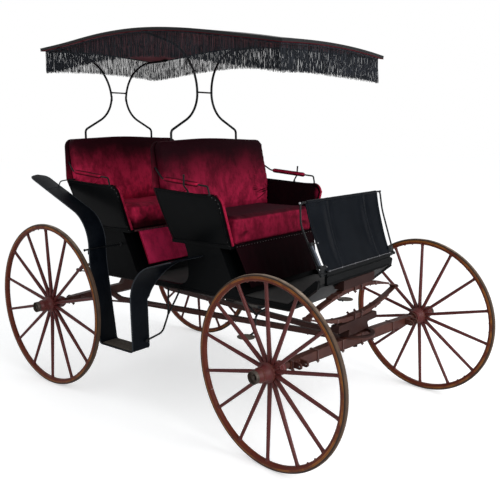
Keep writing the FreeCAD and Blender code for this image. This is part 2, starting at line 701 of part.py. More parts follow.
def makeArms(name, front, foot, boardTop):
    """Arm panels and their velvet linings."""
    corner = boardTop + dim.armFrontHeight
    rear = boardTop + dim.armHeight
    rearY = foot + dim.armHeight * leanSlope
    outline = [(front + 6, boardTop, 0), (front - 2, corner, 60), (rearY, rear, 0), (foot, boardTop, 0)]
    inner = dim.armFoot - 100
    outer = armTop + 50
    wall = flaredWall(boardTop, 0, dim.panelThick, front - 50, rearY + 50)
    keep(name + "_arm_panels", bothSides(wall.common(sideView(outline, inner, outer))), bodyPlace)
    gap = dim.seatGap
    squab = dim.squabFoot + gap
    outline = [(front + 10, boardTop + gap, 0), (front + 2, corner - 8, 56),
               (rearY - squab, rear - 8, 0), (foot - squab, boardTop + gap, 0)]
    depth = dim.panelThick + gap
    wall = flaredWall(boardTop, depth, depth + dim.liningThick, front - 50, rearY + 50)
    keep(name + "_arm_linings", bothSides(wall.common(sideView(outline, inner, outer))), bodyPlace)


def leaningSlab(foot, bottom, top, near, far):
    """Wide slab that leans back, between a front and a rear face: each an offset at foot and top."""
    lean = (top - bottom) * leanSlope
    return sideView([(foot + far[0], bottom, 0), (foot + lean + far[1], top, 0),
                     (foot + lean + near[1], top, 0), (foot + near[0], bottom, 0)], -600, 600)


def makeBack(name, foot, boardTop):
    """Back board and back cushion: rounded front views cut to leaning slabs."""
    armHeight = boardTop + dim.armHeight
    top = boardTop + dim.backHeight
    slabTop = top + dim.backCrown + 30

    def faceView(bottom, halfFoot, halfArm, half, crest, corner):
        outline = [(-halfFoot, bottom, 0), (halfFoot, bottom, 0), (halfArm, armHeight, 80),
                   (half, crest, corner), (0, crest + dim.backCrown, 3000), (-half, crest, corner),
                   (-halfArm, armHeight, 80)]
        return frontView(outline, foot - 300, foot + 300)

    board = faceView(boardTop, dim.armFoot, armTop, dim.backHalf, top, dim.backCorner)
    thick = (dim.panelThick, dim.panelThick)
    board = board.common(leaningSlab(foot, boardTop, slabTop, (0, 0), thick))
    keep(name + "_back_board", board, bodyPlace)
    gap = dim.seatGap
    side = dim.panelThick + gap + dim.liningThick + dim.cushionGap
    squabHalf = dim.armFoot - side + dim.armSpread * 0.55
    squab = faceView(boardTop + dim.cushionHeight + gap, squabHalf, armTop - side, dim.backHalf - 6,
                     top + 4, dim.backCorner - 6)
    front = (-dim.squabFoot, -dim.squabTop)
    squab = squab.common(leaningSlab(foot, boardTop, slabTop, front, (-gap, -gap)))
    keep(name + "_back_cushion", squab, bodyPlace)


def makeArmRails(name, front, foot, boardTop, posts):
    """Round rails over the arm panels, padded along their run, with short posts where asked."""
    gap = dim.seatGap
    railX = armTop - dim.panelThick / 2
    rearY = foot + dim.armHeight * leanSlope
    edgeRise = (dim.armHeight - dim.armFrontHeight) / (rearY - front + 2)

    def onPanel(along):
        up = dim.armFrontHeight + (along + 2) * edgeRise + 2 * gap
        return Vector(railX, front + along, boardTop + up)

    def over(along, forward=0):
        return onPanel(along) + Vector(3, forward, dim.railRise)

    start = onPanel(68)
    upright = start + Vector(0, 0, 14)
    bend = over(77) - Vector(0, 0, 10)
    low = over(435)
    endRise = dim.armHeight + 116
    tilt = 0.8 * dim.thinRod + gap
    end = Vector(dim.backHalf, foot + endRise * leanSlope - tilt, boardTop + endRise)
    rails = rod([start, upright, bend, low, end], [20, 14, 40], dim.thinRod)
    shapes = [rails, mirrored(rails)]
    if posts:
        postFoot = onPanel(231)
        post = rod([postFoot, postFoot + Vector(0, 0, 9), postFoot + Vector(31, 0, 40),
                    postFoot + Vector(34, -4, 98)], [8, 20], dim.thinRod)
        shapes += [post, mirrored(post)]
    keep(name + "_arm_rails", Part.makeCompound(shapes), bodyPlace)
    run = (low - bend).normalize()
    padStart = bend + run * 70
    pad = Part.makeCylinder(dim.padRadius, dim.padLength, padStart, run)
    bore = dim.thinRod / math.cos(math.pi / 8) + gap
    pad = pad.cut(Part.makeCylinder(bore, dim.padLength, padStart, run))
    keep(name + "_arm_pads", bothSides(pad), bodyPlace)


def makeSeat(name, pitch, rise, fallLength):
    """One seat: box, arms, back, cushion, fall and rails."""
    boardTop = dim.seatHeight + rise
    boardBottom = boardTop - dim.seatBoardThick
    front = dim.seatFront + pitch
    foot = backFoot + pitch
    gap = dim.seatGap
    board = block(-dim.armFoot, dim.armFoot, front, foot + dim.panelThick + 2, boardBottom, boardTop)
    riser = sideView([(front + 97, boardBottom, 0), (front + 97 + dim.boardThick, boardBottom, 0),
                      (front - 4, floorTop, 0), (front - 4 - dim.boardThick, floorTop, 0)],
                     -bodyInner, bodyInner)
    pieces = [board, riser]
    if pitch == 0:
        rearFace = foot - 128 + dim.boardThick
        pieces.append(block(-bodyInner, bodyInner, foot - 128, rearFace, floorTop, boardBottom))
    keep(name + "_seat_box", joined(pieces), bodyPlace)
    makeArms(name, front, foot, boardTop)
    makeBack(name, foot, boardTop)
    half = dim.armFoot - dim.panelThick - gap - dim.liningThick - dim.cushionGap
    cushion = block(-half, half, front - 8, foot - 8, boardTop + gap, boardTop + dim.cushionHeight)
    rounded = [edge for edge in cushion.Edges if edge.CenterOfMass.z > boardTop + 10]
    keep(name + "_cushion", cushion.makeFillet(22, rounded), bodyPlace)
    fallTop = boardTop - 2
    fallFoot = boardTop - fallLength
    apron = sideView([(front - gap - dim.fallThick, fallTop, 0), (front - gap, fallTop, 0),
                      (front - gap - dim.fallReach, fallFoot, 0),
                      (front - gap - dim.fallReach - dim.fallThick, fallFoot, 0)], -450, 450)
    shape = frontView([(-dim.fallHalfTop, fallTop, 0), (dim.fallHalfTop, fallTop, 0),
                       (dim.fallHalfFoot, fallFoot, 0), (-dim.fallHalfFoot, fallFoot, 0)],
                      front - 200, front + 50)
    keep(name + "_fall", apron.common(shape), bodyPlace)
    makeArmRails(name, front, foot, boardTop, pitch == 0)


# Canopy

canopyRear = backFoot + seatPitch + dim.canopyBehind
backTop = dim.seatHeight + dim.backHeight
# Side edge of the roof: share of its length, and height over the front seat's back.
archShape = [(0, 496), (0.129, 547), (0.339, 624), (0.512, 663), (0.68, 669), (0.886, 646), (1, 637)]
archPoints = [(dim.canopyFront + share * (canopyRear - dim.canopyFront), backTop + up)
              for share, up in archShape]


def archHeight(along):
    """Height of the roof's side edge, read off the curve through its points."""
    curve = Part.BSplineCurve()
    curve.interpolate([Vector(0, y, z) for y, z in archPoints])
    cut = curve.intersectCC(Part.Line(Vector(0, along, 0), Vector(0, along, 1)))
    return cut[0].Z


def crownAt(across):
    """Rise of the roof over its side edge, at a distance from the middle."""
    return dim.canopyCrown * (1 - (across / dim.canopyHalf) ** 2)


def makeCanopy():
    """Arched roof, and the fringe that hangs inside its edge."""
    sections = []
    half = dim.canopyHalf
    for along, up in archPoints:
        low = up - dim.canopyThick
        topArc = Part.Arc(Vector(-half, along, up), Vector(0, along, up + dim.canopyCrown),
                          Vector(half, along, up))
        lowArc = Part.Arc(Vector(half, along, low), Vector(0, along, low + dim.canopyCrown),
                          Vector(-half, along, low))
        rightEdge = Part.LineSegment(Vector(half, along, up), Vector(half, along, low))
        leftEdge = Part.LineSegment(Vector(-half, along, low), Vector(-half, along, up))
        sections.append(Part.Wire([topArc.toShape(), rightEdge.toShape(), lowArc.toShape(),
                                   leftEdge.toShape()]))
    keep("canopy_roof", Part.makeLoft(sections, True, False), bodyPlace)

    inset = dim.fringeInset
    edge = half - inset
    drop = dim.canopyThick + 2 * dim.seatGap
    upper = smooth([Vector(edge, along, up + crownAt(edge) - drop) for along, up in archPoints])
    lower = upper.copy()
    lower.translate(Vector(0, 0, -dim.fringeDrop))
    ends = [Part.LineSegment(upper.Vertexes[index].Point, lower.Vertexes[index].Point).toShape()
            for index in (0, -1)]
    face = Part.Face(Part.Wire(Part.__sortEdges__([upper, lower] + ends)))
    slab = face.extrude(Vector(-dim.fringeThick, 0, 0))
    slab = slab.common(block(0, half, dim.canopyFront + inset, canopyRear - inset, 0, 3000))
    walls = [slab, mirrored(slab)]
    span = edge - dim.fringeThick - dim.seatGap
    for along, inward in ((dim.canopyFront + inset, 1), (canopyRear - inset, -1)):
        up = archHeight(along) - drop
        topArc = Part.Arc(Vector(-span, along, up + crownAt(span)), Vector(0, along, up + crownAt(0)),
                          Vector(span, along, up + crownAt(span))).toShape()
        lowArc = topArc.copy()
        lowArc.translate(Vector(0, 0, -dim.fringeDrop))
        sides = [Part.LineSegment(topArc.Vertexes[index].Point, lowArc.Vertexes[index].Point).toShape()
                 for index in (0, -1)]
        face = Part.Face(Part.Wire(Part.__sortEdges__([topArc, lowArc] + sides)))
        walls.append(face.extrude(Vector(0, inward * dim.fringeThick, 0)))
    keep("canopy_fringe", Part.makeCompound(walls), bodyPlace)


def makeCanopyIrons(label, pitch, rise, waist):
    """A pair of irons bent in at the waist, tied there, between seat back and roof edge."""
    boardBack = backFoot + pitch + dim.backHeight * leanSlope + dim.panelThick
    plate = 6
    along = boardBack + dim.seatGap + plate + dim.rodRadius
    top = backTop + rise
    shoulder = top + 11
    spread = (dim.ironFoot - dim.waistHalf) * math.tan(math.radians(12))
    tipX = dim.canopyHalf - dim.fringeInset - dim.fringeThick - 2
    tipZ = archHeight(along) - dim.canopyThick + crownAt(tipX) - dim.rodRadius - 1.6
    corner = tipZ - (tipX - dim.waistHalf) * math.tan(math.radians(10))
    points = [Vector(dim.ironFoot, along, top - 20), Vector(dim.ironFoot, along, shoulder),
              Vector(dim.waistHalf, along, shoulder + spread), Vector(dim.waistHalf, along, corner),
              Vector(tipX, along, tipZ)]
    iron = rod(points, [8, dim.waistBend, 200], dim.rodRadius)
    barStart = Vector(-dim.waistHalf, along, top + waist)
    bar = Part.makeCylinder(dim.thinRod, 2 * dim.waistHalf, barStart, axisX)
    foot = block(dim.ironFoot - 17, dim.ironFoot + 17, -plate, 0, -190, 26)
    foot.rotate(Vector(0, 0, 0), axisX, -dim.backLean)
    foot.translate(Vector(0, boardBack + dim.seatGap + plate, top))
    bar = bar.cut(iron).cut(mirrored(iron))
    keep(label, Part.makeCompound([bar] + bothSides(joined([iron, foot])).Solids), bodyPlace)


# Fenders and steps

rearLeg = dim.wheelBase - 388
treadRear = dim.wheelBase - 465
treadFront = dim.wheelBase - 770


def makeFender(label, side):
    """Leather wing over the rear wheel, running down to a step and up to the body's side."""
    low = -dim.treadDrop
    points = [Vector(0, dim.wheelBase + 248, 668), Vector(0, rearLeg + 4, 402), Vector(0, rearLeg, 146),
              Vector(0, treadRear, low), Vector(0, treadFront, low), Vector(0, treadFront + 12, 133),
              Vector(0, treadFront - 345, 230)]
    inner = dim.bodyHalf + dim.fenderGap
    outer = inner + dim.fenderWidth
    strip = flatBar(points, [240, 600, 18, 18, 240], outer - dim.bodyHalf, dim.leatherThick, axisX)
    strip.translate(Vector((outer + dim.bodyHalf) / 2, 0, 0))
    edge = dim.bodyHalf + dim.seatGap
    rearCut = block(0, inner, treadRear - 200, dim.wheelBase + 600, -1000, 2000)
    frontCut = frontView([(0, -1000, 0), (inner, -1000, 0), (inner, -54, 60), (edge, 158, 0),
                          (edge, 2000, 0), (0, 2000, 0)], treadFront - 600, treadRear - 100)
    fender = strip.cut([rearCut, frontCut])
    if side < 0:
        fender = mirrored(fender)
    keep(label, fender, bodyPlace)


def makeFenderIrons():
    """Bracket behind each wing, and the forked stay that carries each step."""
    under = -dim.seatGap
    half = dim.bodyHalf
    start = half + dim.seatGap
    rear = rearLeg + 2 + dim.leatherThick / 2 + dim.seatGap + dim.rodRadius
    inner = half + dim.fenderGap
    length = inner + dim.fenderWidth + 12 - start
    bracket = Part.makeCylinder(dim.rodRadius, length, Vector(start, rear, 226), axisX)
    meet = Vector(half + 30, treadFront - 70, -159)
    reach = Vector(inner + 30, treadFront - dim.leatherThick / 2 - dim.rodRadius - dim.seatGap,
                   -dim.treadDrop + 52)
    bolt = half - 12
    long = rod([Vector(bolt, treadFront - 32, under), Vector(bolt, treadFront - 32, under - 16),
                Vector(half + 2, treadFront - 45, -64), meet, Vector(half + 70, treadFront - 58, -264),
                reach], [20, 60, 80, 60], dim.rodRadius)
    short = rod([Vector(bolt, treadFront - 128, under), Vector(bolt, treadFront - 128, under - 16),
                 Vector(half + 2, treadFront - 110, -64), meet], [20, 60], dim.rodRadius)
    stay = joined([long, short])
    keep("fender_irons", Part.makeCompound([bracket, mirrored(bracket), stay, mirrored(stay)]), bodyPlace)


def makeFrontSteps():
    """Oval step plates hung from the body by forked irons."""
    under = -dim.seatGap
    half = dim.bodyHalf
    bolt = half - 12
    middleY = dim.seatFront - 179
    drop = -dim.stepDrop
    meet = Vector(half, middleY + 20, -54)
    plateX = half + dim.stepReach
    long = rod([Vector(bolt, middleY - 48, under), Vector(bolt, middleY - 48, under - 12),
                Vector(half - 7, middleY - 16, -32), meet, Vector(half + 25, middleY + 6, drop + 12),
                Vector(plateX - 38, middleY, drop + 3)], [8, 10, 50, 30], dim.rodRadius)
    short = rod([Vector(bolt, middleY + 88, under), Vector(bolt, middleY + 88, under - 12),
                 Vector(half - 7, middleY + 56, -32), meet], [8, 10], dim.rodRadius)
    plate = Part.Face(Part.Wire(Part.Ellipse(Vector(0, 0, 0), 55, 45).toShape())).extrude(Vector(0, 0, 6))
    plate.rotate(Vector(0, 0, 0), axisZ, 90)
    plate.translate(Vector(plateX, middleY, drop))
    keep("front_steps", bothSides(joined([long, short, plate])), bodyPlace)


makeWheels()
makeFrontGear()
makeHeadBlock()
makeSpring("front_spring", 0, frontSpringFoot, dim.frontArch)
makeSpring("rear_spring", dim.wheelBase, rearSpringFoot, dim.rearArch)
makeReaches()
makeRearAxle()
makeBolsters()
makeBodySides()
makeFloor()
makeDash()
makeSeat("front", 0, 0, dim.frontFall)
makeSeat("rear", seatPitch, dim.seatRise, dim.rearFall)
makeCanopy()
makeCanopyIrons("canopy_irons_front", 0, 0, dim.frontWaist)
makeCanopyIrons("canopy_irons_rear", seatPitch, dim.seatRise, dim.rearWaist)
makeFender("fender_left", 1)
makeFender("fender_right", -1)
makeFenderIrons()
makeFrontSteps()

doc.recompute()
for item in doc.Objects:
    if "Invalid" in item.State or "Error" in item.State:
        raise RuntimeError("failed: " + item.Label)
for piece in subParts:
    if piece.Shape.isNull() or not piece.Shape.isValid():
        raise RuntimeError("bad shape: " + piece.Label)
for piece in subParts:
    piece.Shape.exportStep("parts/%s.step" % piece.Label)
    print(piece.Label, len(piece.Shape.Solids), round(piece.Shape.Volume / 1000, 1))
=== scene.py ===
import bmesh
import bpy
import json
import math
from mathutils import Matrix, Vector, noise


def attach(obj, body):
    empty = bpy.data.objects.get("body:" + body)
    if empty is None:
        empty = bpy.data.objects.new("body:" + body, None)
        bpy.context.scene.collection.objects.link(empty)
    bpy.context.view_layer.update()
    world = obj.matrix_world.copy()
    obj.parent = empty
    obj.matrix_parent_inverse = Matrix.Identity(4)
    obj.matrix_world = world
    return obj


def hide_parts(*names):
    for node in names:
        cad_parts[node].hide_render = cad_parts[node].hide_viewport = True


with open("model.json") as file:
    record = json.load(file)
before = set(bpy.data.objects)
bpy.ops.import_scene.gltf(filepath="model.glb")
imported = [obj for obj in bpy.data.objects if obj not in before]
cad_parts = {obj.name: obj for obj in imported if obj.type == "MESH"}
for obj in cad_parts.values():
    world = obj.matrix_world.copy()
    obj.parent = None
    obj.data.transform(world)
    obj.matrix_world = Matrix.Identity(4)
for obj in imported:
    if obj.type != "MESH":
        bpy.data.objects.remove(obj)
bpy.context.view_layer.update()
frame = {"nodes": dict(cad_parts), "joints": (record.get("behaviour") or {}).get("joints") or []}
print("frame loaded:", len(frame["nodes"]), "nodes")

steering = next(joint for joint in frame["joints"] if joint["name"] == "steering")
frontAxleY = steering["pos_m"][1]
steerRest = math.radians(-5.64)
toSky, toGround = Vector((0, 0, 1)), Vector((0, 0, -1))
toRear, toFront = Vector((0, 1, 0)), Vector((0, -1, 0))


def at(x, y, z):  # millimetres from the point on the ground under the front axle
    return Vector((x / 1000, y / 1000 + frontAxleY, z / 1000))


def span(low, high, parts):  # evenly spaced values from low to high
    return [low + (high - low) * part / parts for part in range(parts + 1)]


def addObject(name, data):
    thing = bpy.data.objects.new(name, data)
    bpy.context.scene.collection.objects.link(thing)
    return thing


# nodes

def addNode(tree, kind, inputs=None, **settings):
    node = tree.nodes.new(kind)
    for key, value in settings.items():
        setattr(node, key, value)
    return feed(tree, node, inputs or {})


def feed(tree, node, values):  # sets each input, or links it where the value is a socket
    for key, value in values.items():
        if isinstance(value, bpy.types.NodeSocket):
            tree.links.new(value, node.inputs[key])
        else:
            node.inputs[key].default_value = value
    return node


def blend(tree, factor, first, second):
    return addNode(tree, "ShaderNodeMix", {0: factor, 6: first, 7: second}, data_type="RGBA").outputs[2]


def number(tree, operation, *values, clamp=False):
    node = addNode(tree, "ShaderNodeMath", dict(enumerate(values)), operation=operation, use_clamp=clamp)
    return node.outputs[0]


def times(tree, first, *others, clamp=False):
    for other in others:
        first = number(tree, "MULTIPLY", first, other, clamp=clamp)
    return first


def ranged(tree, value, low, high, toLow=0.0, toHigh=1.0, smooth=False):
    return addNode(tree, "ShaderNodeMapRange", {"Value": value, "From Min": low, "From Max": high, "To Min": toLow,
                                                "To Max": toHigh},
                   interpolation_type="SMOOTHSTEP" if smooth else "LINEAR").outputs[0]


def objectPlace(tree):
    return addNode(tree, "ShaderNodeTexCoord").outputs["Object"]


def objectNoise(tree, scale, detail, stretch=None, rough=0.55):
    spot = objectPlace(tree)
    if stretch:
        spot = addNode(tree, "ShaderNodeMapping", {"Vector": spot, "Scale": stretch}).outputs[0]
    return addNode(tree, "ShaderNodeTexNoise", {"Vector": spot, "Scale": scale, "Detail": detail,
                                                "Roughness": rough}).outputs["Fac"]


def axisOf(tree, vector, axis):
    return addNode(tree, "ShaderNodeSeparateXYZ", {0: vector}).outputs[axis]


def facing(tree, axis):  # how far the surface faces along an axis
    return axisOf(tree, addNode(tree, "ShaderNodeNewGeometry").outputs["Normal"], axis)


def newMaterial(name, color, roughness, metallic=0.0, **constants):
    material = bpy.data.materials.new(name)
    material.use_nodes = True
    material.diffuse_color = color
    inputs = material.node_tree.nodes["Principled BSDF"].inputs
    inputs["Base Color"].default_value = color
    inputs["Roughness"].default_value = roughness
    inputs["Metallic"].default_value = metallic
    for key, value in constants.items():
        inputs[key.replace("_", " ")].default_value = value
    return material, material.node_tree, inputs


# camera, light and floor

cameraSettings = {
    "place": (-3086.7, -1803.2, 1619.6),
    "yaw": 50.12,
    "pitch": -6.61,
    "roll": -0.73,
    "sensor": 36,
    "lens": 46.74,
    "shiftX": 0.007,
    "shiftY": -0.0774,
}


def makeCamera():
    yaw, pitch, roll = (math.radians(cameraSettings[key]) for key in ("yaw", "pitch", "roll"))
    ahead = Vector((math.sin(yaw) * math.cos(pitch), math.cos(yaw) * math.cos(pitch), math.sin(pitch)))
    level = Vector((math.cos(yaw), -math.sin(yaw), 0))
    rising = level.cross(ahead)
    right = math.cos(roll) * level + math.sin(roll) * rising
    up = -math.sin(roll) * level + math.cos(roll) * rising
    data = bpy.data.cameras.new("camera")
    data.sensor_width = cameraSettings["sensor"]
    data.lens = cameraSettings["lens"]
    data.shift_x = cameraSettings["shiftX"]
    data.shift_y = cameraSettings["shiftY"]
    data.clip_end = 100
    camera = addObject("camera", data)
    turn = Matrix((right, up, -ahead)).transposed().to_4x4()
    camera.matrix_world = Matrix.Translation(at(*cameraSettings["place"])) @ turn
    bpy.context.scene.camera = camera


studio = {
    "backdrop": 1.0,        # what the camera sees beyond the floor
    "skyTop": 0.80,         # soft light from overhead
    "skySide": 0.34,        # soft light from the horizon
    "skyColor": (0.97, 0.985, 1, 1),
    "keyPower": 300,        # large softbox before the carriage
    "keyPlace": (-300, -4600, 2700),
    "keyAim": (0, 1000, 900),
    "keySize": 5.0,
    "fillPower": 13,        # softbox on the near side
    "fillPlace": (-4800, 1500, 3000),
    "fillSize": 3.0,
    "floorReach": 40,
    "floorColor": (0.86, 0.86, 0.86, 1),
    "floorGlow": 0.40,      # paler floor, for the camera alone
}


def makeLight(name):
    data = bpy.data.lights.new(name, "AREA")
    data.energy = studio[name + "Power"]
    data.size = studio[name + "Size"]
    lamp = addObject(name, data)
    lamp.location = at(*studio[name + "Place"])
    lamp.rotation_euler = (at(*studio["keyAim"]) - lamp.location).to_track_quat("-Z", "Y").to_euler()


def makeStudio():
    scene = bpy.context.scene
    scene.view_settings.view_transform = "Standard"
    scene.world = bpy.data.worlds.new("studio")
    scene.world.use_nodes = True
    tree = scene.world.node_tree
    tree.nodes.clear()
    height = axisOf(tree, addNode(tree, "ShaderNodeTexCoord").outputs["Generated"], "Z")
    strength = ranged(tree, height, -0.05, 0.75, studio["skySide"], studio["skyTop"])
    sky = addNode(tree, "ShaderNodeBackground", {"Color": studio["skyColor"], "Strength": strength})
    seen = addNode(tree, "ShaderNodeBackground", {"Color": (1, 1, 1, 1), "Strength": studio["backdrop"]})
    toCamera = addNode(tree, "ShaderNodeLightPath").outputs["Is Camera Ray"]
    mix = addNode(tree, "ShaderNodeMixShader", {0: toCamera, 1: sky.outputs[0], 2: seen.outputs[0]})
    addNode(tree, "ShaderNodeOutputWorld", {0: mix.outputs[0]})
    makeLight("key")
    makeLight("fill")

    reach = studio["floorReach"]
    mesh = bpy.data.meshes.new("floor")
    mesh.from_pydata([(-reach, -reach, 0), (reach, -reach, 0), (reach, reach, 0), (-reach, reach, 0)], [],
                     [(0, 1, 2, 3)])
    material, tree, inputs = newMaterial("studioFloor", studio["floorColor"], 0.9, Specular_IOR_Level=0.1,
                                         Emission_Color=(1, 1, 1, 1))
    toCamera = addNode(tree, "ShaderNodeLightPath").outputs["Is Camera Ray"]
    tree.links.new(times(tree, toCamera, studio["floorGlow"]), inputs["Emission Strength"])
    mesh.materials.append(material)
    addObject("studioFloor", mesh)


makeCamera()
makeStudio()
print("camera and studio ready")


# shapes

class Shell:  # gathers parts of one mesh, each corner with a place across its part
    def __init__(self):
        self.corners = []
        self.faces = []
        self.shades = []
        self.flow = []

    def add(self, corners, faces, shade=0, flow=None):
        start = len(self.corners)
        self.corners += [tuple(corner) for corner in corners]
        self.faces += [tuple(start + index for index in face) for face in faces]
        self.shades += [shade] * len(faces)
        self.flow += flow or [(0, 0, 0)] * len(corners)

    def turned(self, matrix):
        other = Shell()
        other.add([matrix @ Vector(corner) for corner in self.corners], self.faces, 0, self.flow)
        other.shades = self.shades
        return other

    def piece(self, name, materials, replaced=(), body="carriage", sharp=40):
        mesh = bpy.data.meshes.new(name)
        mesh.from_pydata(self.corners, [], self.faces)
        mesh.polygons.foreach_set("material_index", self.shades)
        flow = mesh.attributes.new("flow", "FLOAT_VECTOR", "POINT")
        flow.data.foreach_set("vector", [value for spot in self.flow for value in spot])
        work = bmesh.new()
        work.from_mesh(mesh)
        bmesh.ops.recalc_face_normals(work, faces=work.faces)
        work.to_mesh(mesh)
        work.free()
        mesh.shade_smooth()
        mesh.set_sharp_from_angle(angle=math.radians(sharp))
        return placePiece(name, mesh, materials, replaced, body)


def placePiece(name, mesh, materials, replaced, body="carriage"):
    piece = addObject(name, mesh)
    for material in materials:
        mesh.materials.append(material)
    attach(piece, body)
    if replaced:
        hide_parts(*replaced)
    return piece


def evaluated(piece):  # plain mesh of the piece with its modifiers applied
    graph = bpy.context.evaluated_depsgraph_get()
    return bpy.data.meshes.new_from_object(piece.evaluated_get(graph), depsgraph=graph)


def settled(piece):
    mesh = evaluated(piece)
    piece.modifiers.clear()
    piece.data = mesh


def ringFaces(rows, columns, looped=False):  # faces between rows of points, each row a ring
    faces = []
    for row in range(rows if looped else rows - 1):
        start, following = row * columns, (row + 1) % rows * columns
        for column in range(columns):
            after = (column + 1) % columns
            faces.append((start + column, start + after, following + after, following + column))
    if not looped:
        faces.append(tuple(range(columns - 1, -1, -1)))
        faces.append(tuple((rows - 1) * columns + column for column in range(columns)))
    return faces


def closedSheet(shell, upper, lower, wide):  # two grids of points, wide columns each, joined round their rims
    count = len(upper)
    levels = count // wide - 1
    faces = []
    for level in range(levels):
        for a in range(level * wide, level * wide + wide - 1):
            faces.append((a, a + 1, a + wide + 1, a + wide))
            faces.append((count + a, count + a + wide, count + a + wide + 1, count + a + 1))
    rim = (list(range(wide)) + [level * wide + wide - 1 for level in range(1, levels + 1)]
           + list(range(count - 2, levels * wide - 1, -1)) + [level * wide for level in range(levels - 1, 0, -1)])
    for a, b in zip(rim, rim[1:] + rim[:1]):
        faces.append((a, count + a, count + b, b))
    shell.add(upper + lower, faces)


def bend(points, radii, step=9):  # path through corners that are rounded to the radii
    path = [points[0].copy()]
    for index in range(1, len(points) - 1):
        corner = points[index]
        arrive = (corner - points[index - 1]).normalized()
        leave = (points[index + 1] - corner).normalized()
        turn = arrive.angle(leave)
        radius = radii[index - 1]
        if turn < 0.01 or radius == 0:
            path.append(corner.copy())
            continue
        first = corner - arrive * (radius * math.tan(turn / 2))
        axis = arrive.cross(leave).normalized()
        centre = first + axis.cross(arrive) * radius
        parts = max(2, math.ceil(math.degrees(turn) / step))
        for angle in span(0, turn, parts):
            path.append(centre + Matrix.Rotation(angle, 3, axis) @ (first - centre))
    path.append(points[-1].copy())
    return path


def curve(points, parts):  # smooth path through every point
    path = []
    last = len(points) - 1
    for index in range(last):
        before, start, end, after = (points[max(index - 1, 0)], points[index], points[index + 1],
                                     points[min(index + 2, last)])
        for part in range(parts):
            t = part / parts
            path.append(0.5 * (2 * start + (end - before) * t + (2 * before - 5 * start + 4 * end - after) * t * t
                               + (3 * start - before - 3 * end + after) * t ** 3))
    path.append(points[-1].copy())
    return path


def circleThrough(a, b, c):
    (ax, ay), (bx, by), (cx, cy) = a, b, c
    d = 2 * (ax * (by - cy) + bx * (cy - ay) + cx * (ay - by))
    aa, bb, cc = ax * ax + ay * ay, bx * bx + by * by, cx * cx + cy * cy
    ux = (aa * (by - cy) + bb * (cy - ay) + cc * (ay - by)) / d
    uy = (aa * (cx - bx) + bb * (ax - cx) + cc * (bx - ax)) / d
    return ux, uy, math.hypot(ax - ux, ay - uy)


def circle(radius, sides, squash=1.0):
    return [(radius * math.cos(math.tau * k / sides), radius * squash * math.sin(math.tau * k / sides))
            for k in range(sides)]


def roundedBox(width, depth, radius, parts=2):  # section of a bar with eased corners
    section = []
    for quarter, (x, y) in enumerate(((1, 1), (-1, 1), (-1, -1), (1, -1))):
        for part in range(parts + 1):
            angle = math.pi / 2 * (quarter + part / parts)
            section.append((x * (width / 2 - radius) + radius * math.cos(angle),
                            y * (depth / 2 - radius) + radius * math.sin(angle)))
    return section


def sweep(shell, path, section, up=None, scale=None, shade=0, closed=False):
    count = len(path)
    rows = []
    side = None
    for index, point in enumerate(path):
        if closed:
            heading = (path[(index + 1) % count] - path[index - 1]).normalized()
        else:
            heading = (path[min(index + 1, count - 1)] - path[max(index - 1, 0)]).normalized()
        if up is not None:
            side = up.cross(heading).normalized()
        elif side is None:
            guide = toSky if abs(heading.z) < 0.9 else Vector((1, 0, 0))
            side = guide.cross(heading).normalized()
        else:
            side = (side - heading * side.dot(heading)).normalized()
        rise = heading.cross(side)
        size = scale(index / (count - 1)) if scale else 1
        rows += [point + side * (a * size) + rise * (b * size) for a, b in section]
    shell.add(rows, ringFaces(count, len(section), closed), shade)


def rod(shell, points, radii, radius, sides=12):
    sweep(shell, bend(points, radii), circle(radius, sides))


def lathe(shell, profile, sides, matrix=Matrix(), shade=0, closed=False):
    # profile of (radius, height) points turned about the matrix's Z axis
    rows = [matrix @ Vector((x, y, height)) for radius, height in profile for x, y in circle(radius, sides)]
    shell.add(rows, ringFaces(len(profile), sides, closed), shade)


def addBox(shell, low, high, ease=0.001, matrix=Matrix(), shade=0):
    low, high = Vector(low), Vector(high)
    middle, half = (low + high) / 2, (high - low) / 2
    section = roundedBox(2 * half.x, 2 * half.y, ease)
    inner = roundedBox(2 * (half.x - ease), 2 * (half.y - ease), ease * 0.5)
    rows = []
    for ring, z in ((inner, -half.z), (section, -half.z + ease), (section, half.z - ease), (inner, half.z)):
        rows += [matrix @ (middle + Vector((x, y, z))) for x, y in ring]
    shell.add(rows, ringFaces(4, len(section)), shade)


def seated(point, axis):
    return Matrix.Translation(point) @ axis.to_track_quat("Z", "Y").to_matrix().to_4x4()


# half width and height of the nut, radius and reach of the bolt's end
boltSizes = {
    "light": (0.0055, 0.005, 0.0034, 0.009),
    "strap": (0.0065, 0.0055, 0.0038, 0.010),
    "reach": (0.006, 0.005, 0.0038, 0.010),
    "plate": (0.0065, 0.006, 0.004, 0.011),
    "clip": (0.0068, 0.007, 0.004, 0.013),
    "eye": (0.0075, 0.006, 0.0048, 0.011),
}


def bolt(shell, point, axis, size):  # square nut with the bolt's end standing out of it
    head, height, shank, reach = boltSizes[size]
    matrix = seated(point, axis)
    addBox(shell, (-head, -head, 0), (head, head, height), 0.001, matrix)
    lathe(shell, [(shank, height), (shank, reach - 0.001), (shank * 0.7, reach)], 8, matrix)


def domed(shell, point, axis, radius, height, shade=0, sides=10):  # round head of a bolt, rivet or knob
    profile = [(radius, 0), (radius, height * 0.25), (radius * 0.85, height * 0.7), (radius * 0.45, height * 0.95),
               (0.0002, height)]
    lathe(shell, profile, sides, seated(point, axis), shade)


# materials

def newGroup(name, inputs, outputs):
    group = bpy.data.node_groups.new(name, "ShaderNodeTree")
    for key, kind, value in inputs:
        socket = group.interface.new_socket(key, in_out="INPUT", socket_type="NodeSocket" + kind)
        socket.default_value = value
    for key, kind in outputs:
        group.interface.new_socket(key, in_out="OUTPUT", socket_type="NodeSocket" + kind)
    return group, group.nodes.new("NodeGroupInput").outputs, group.nodes.new("NodeGroupOutput")


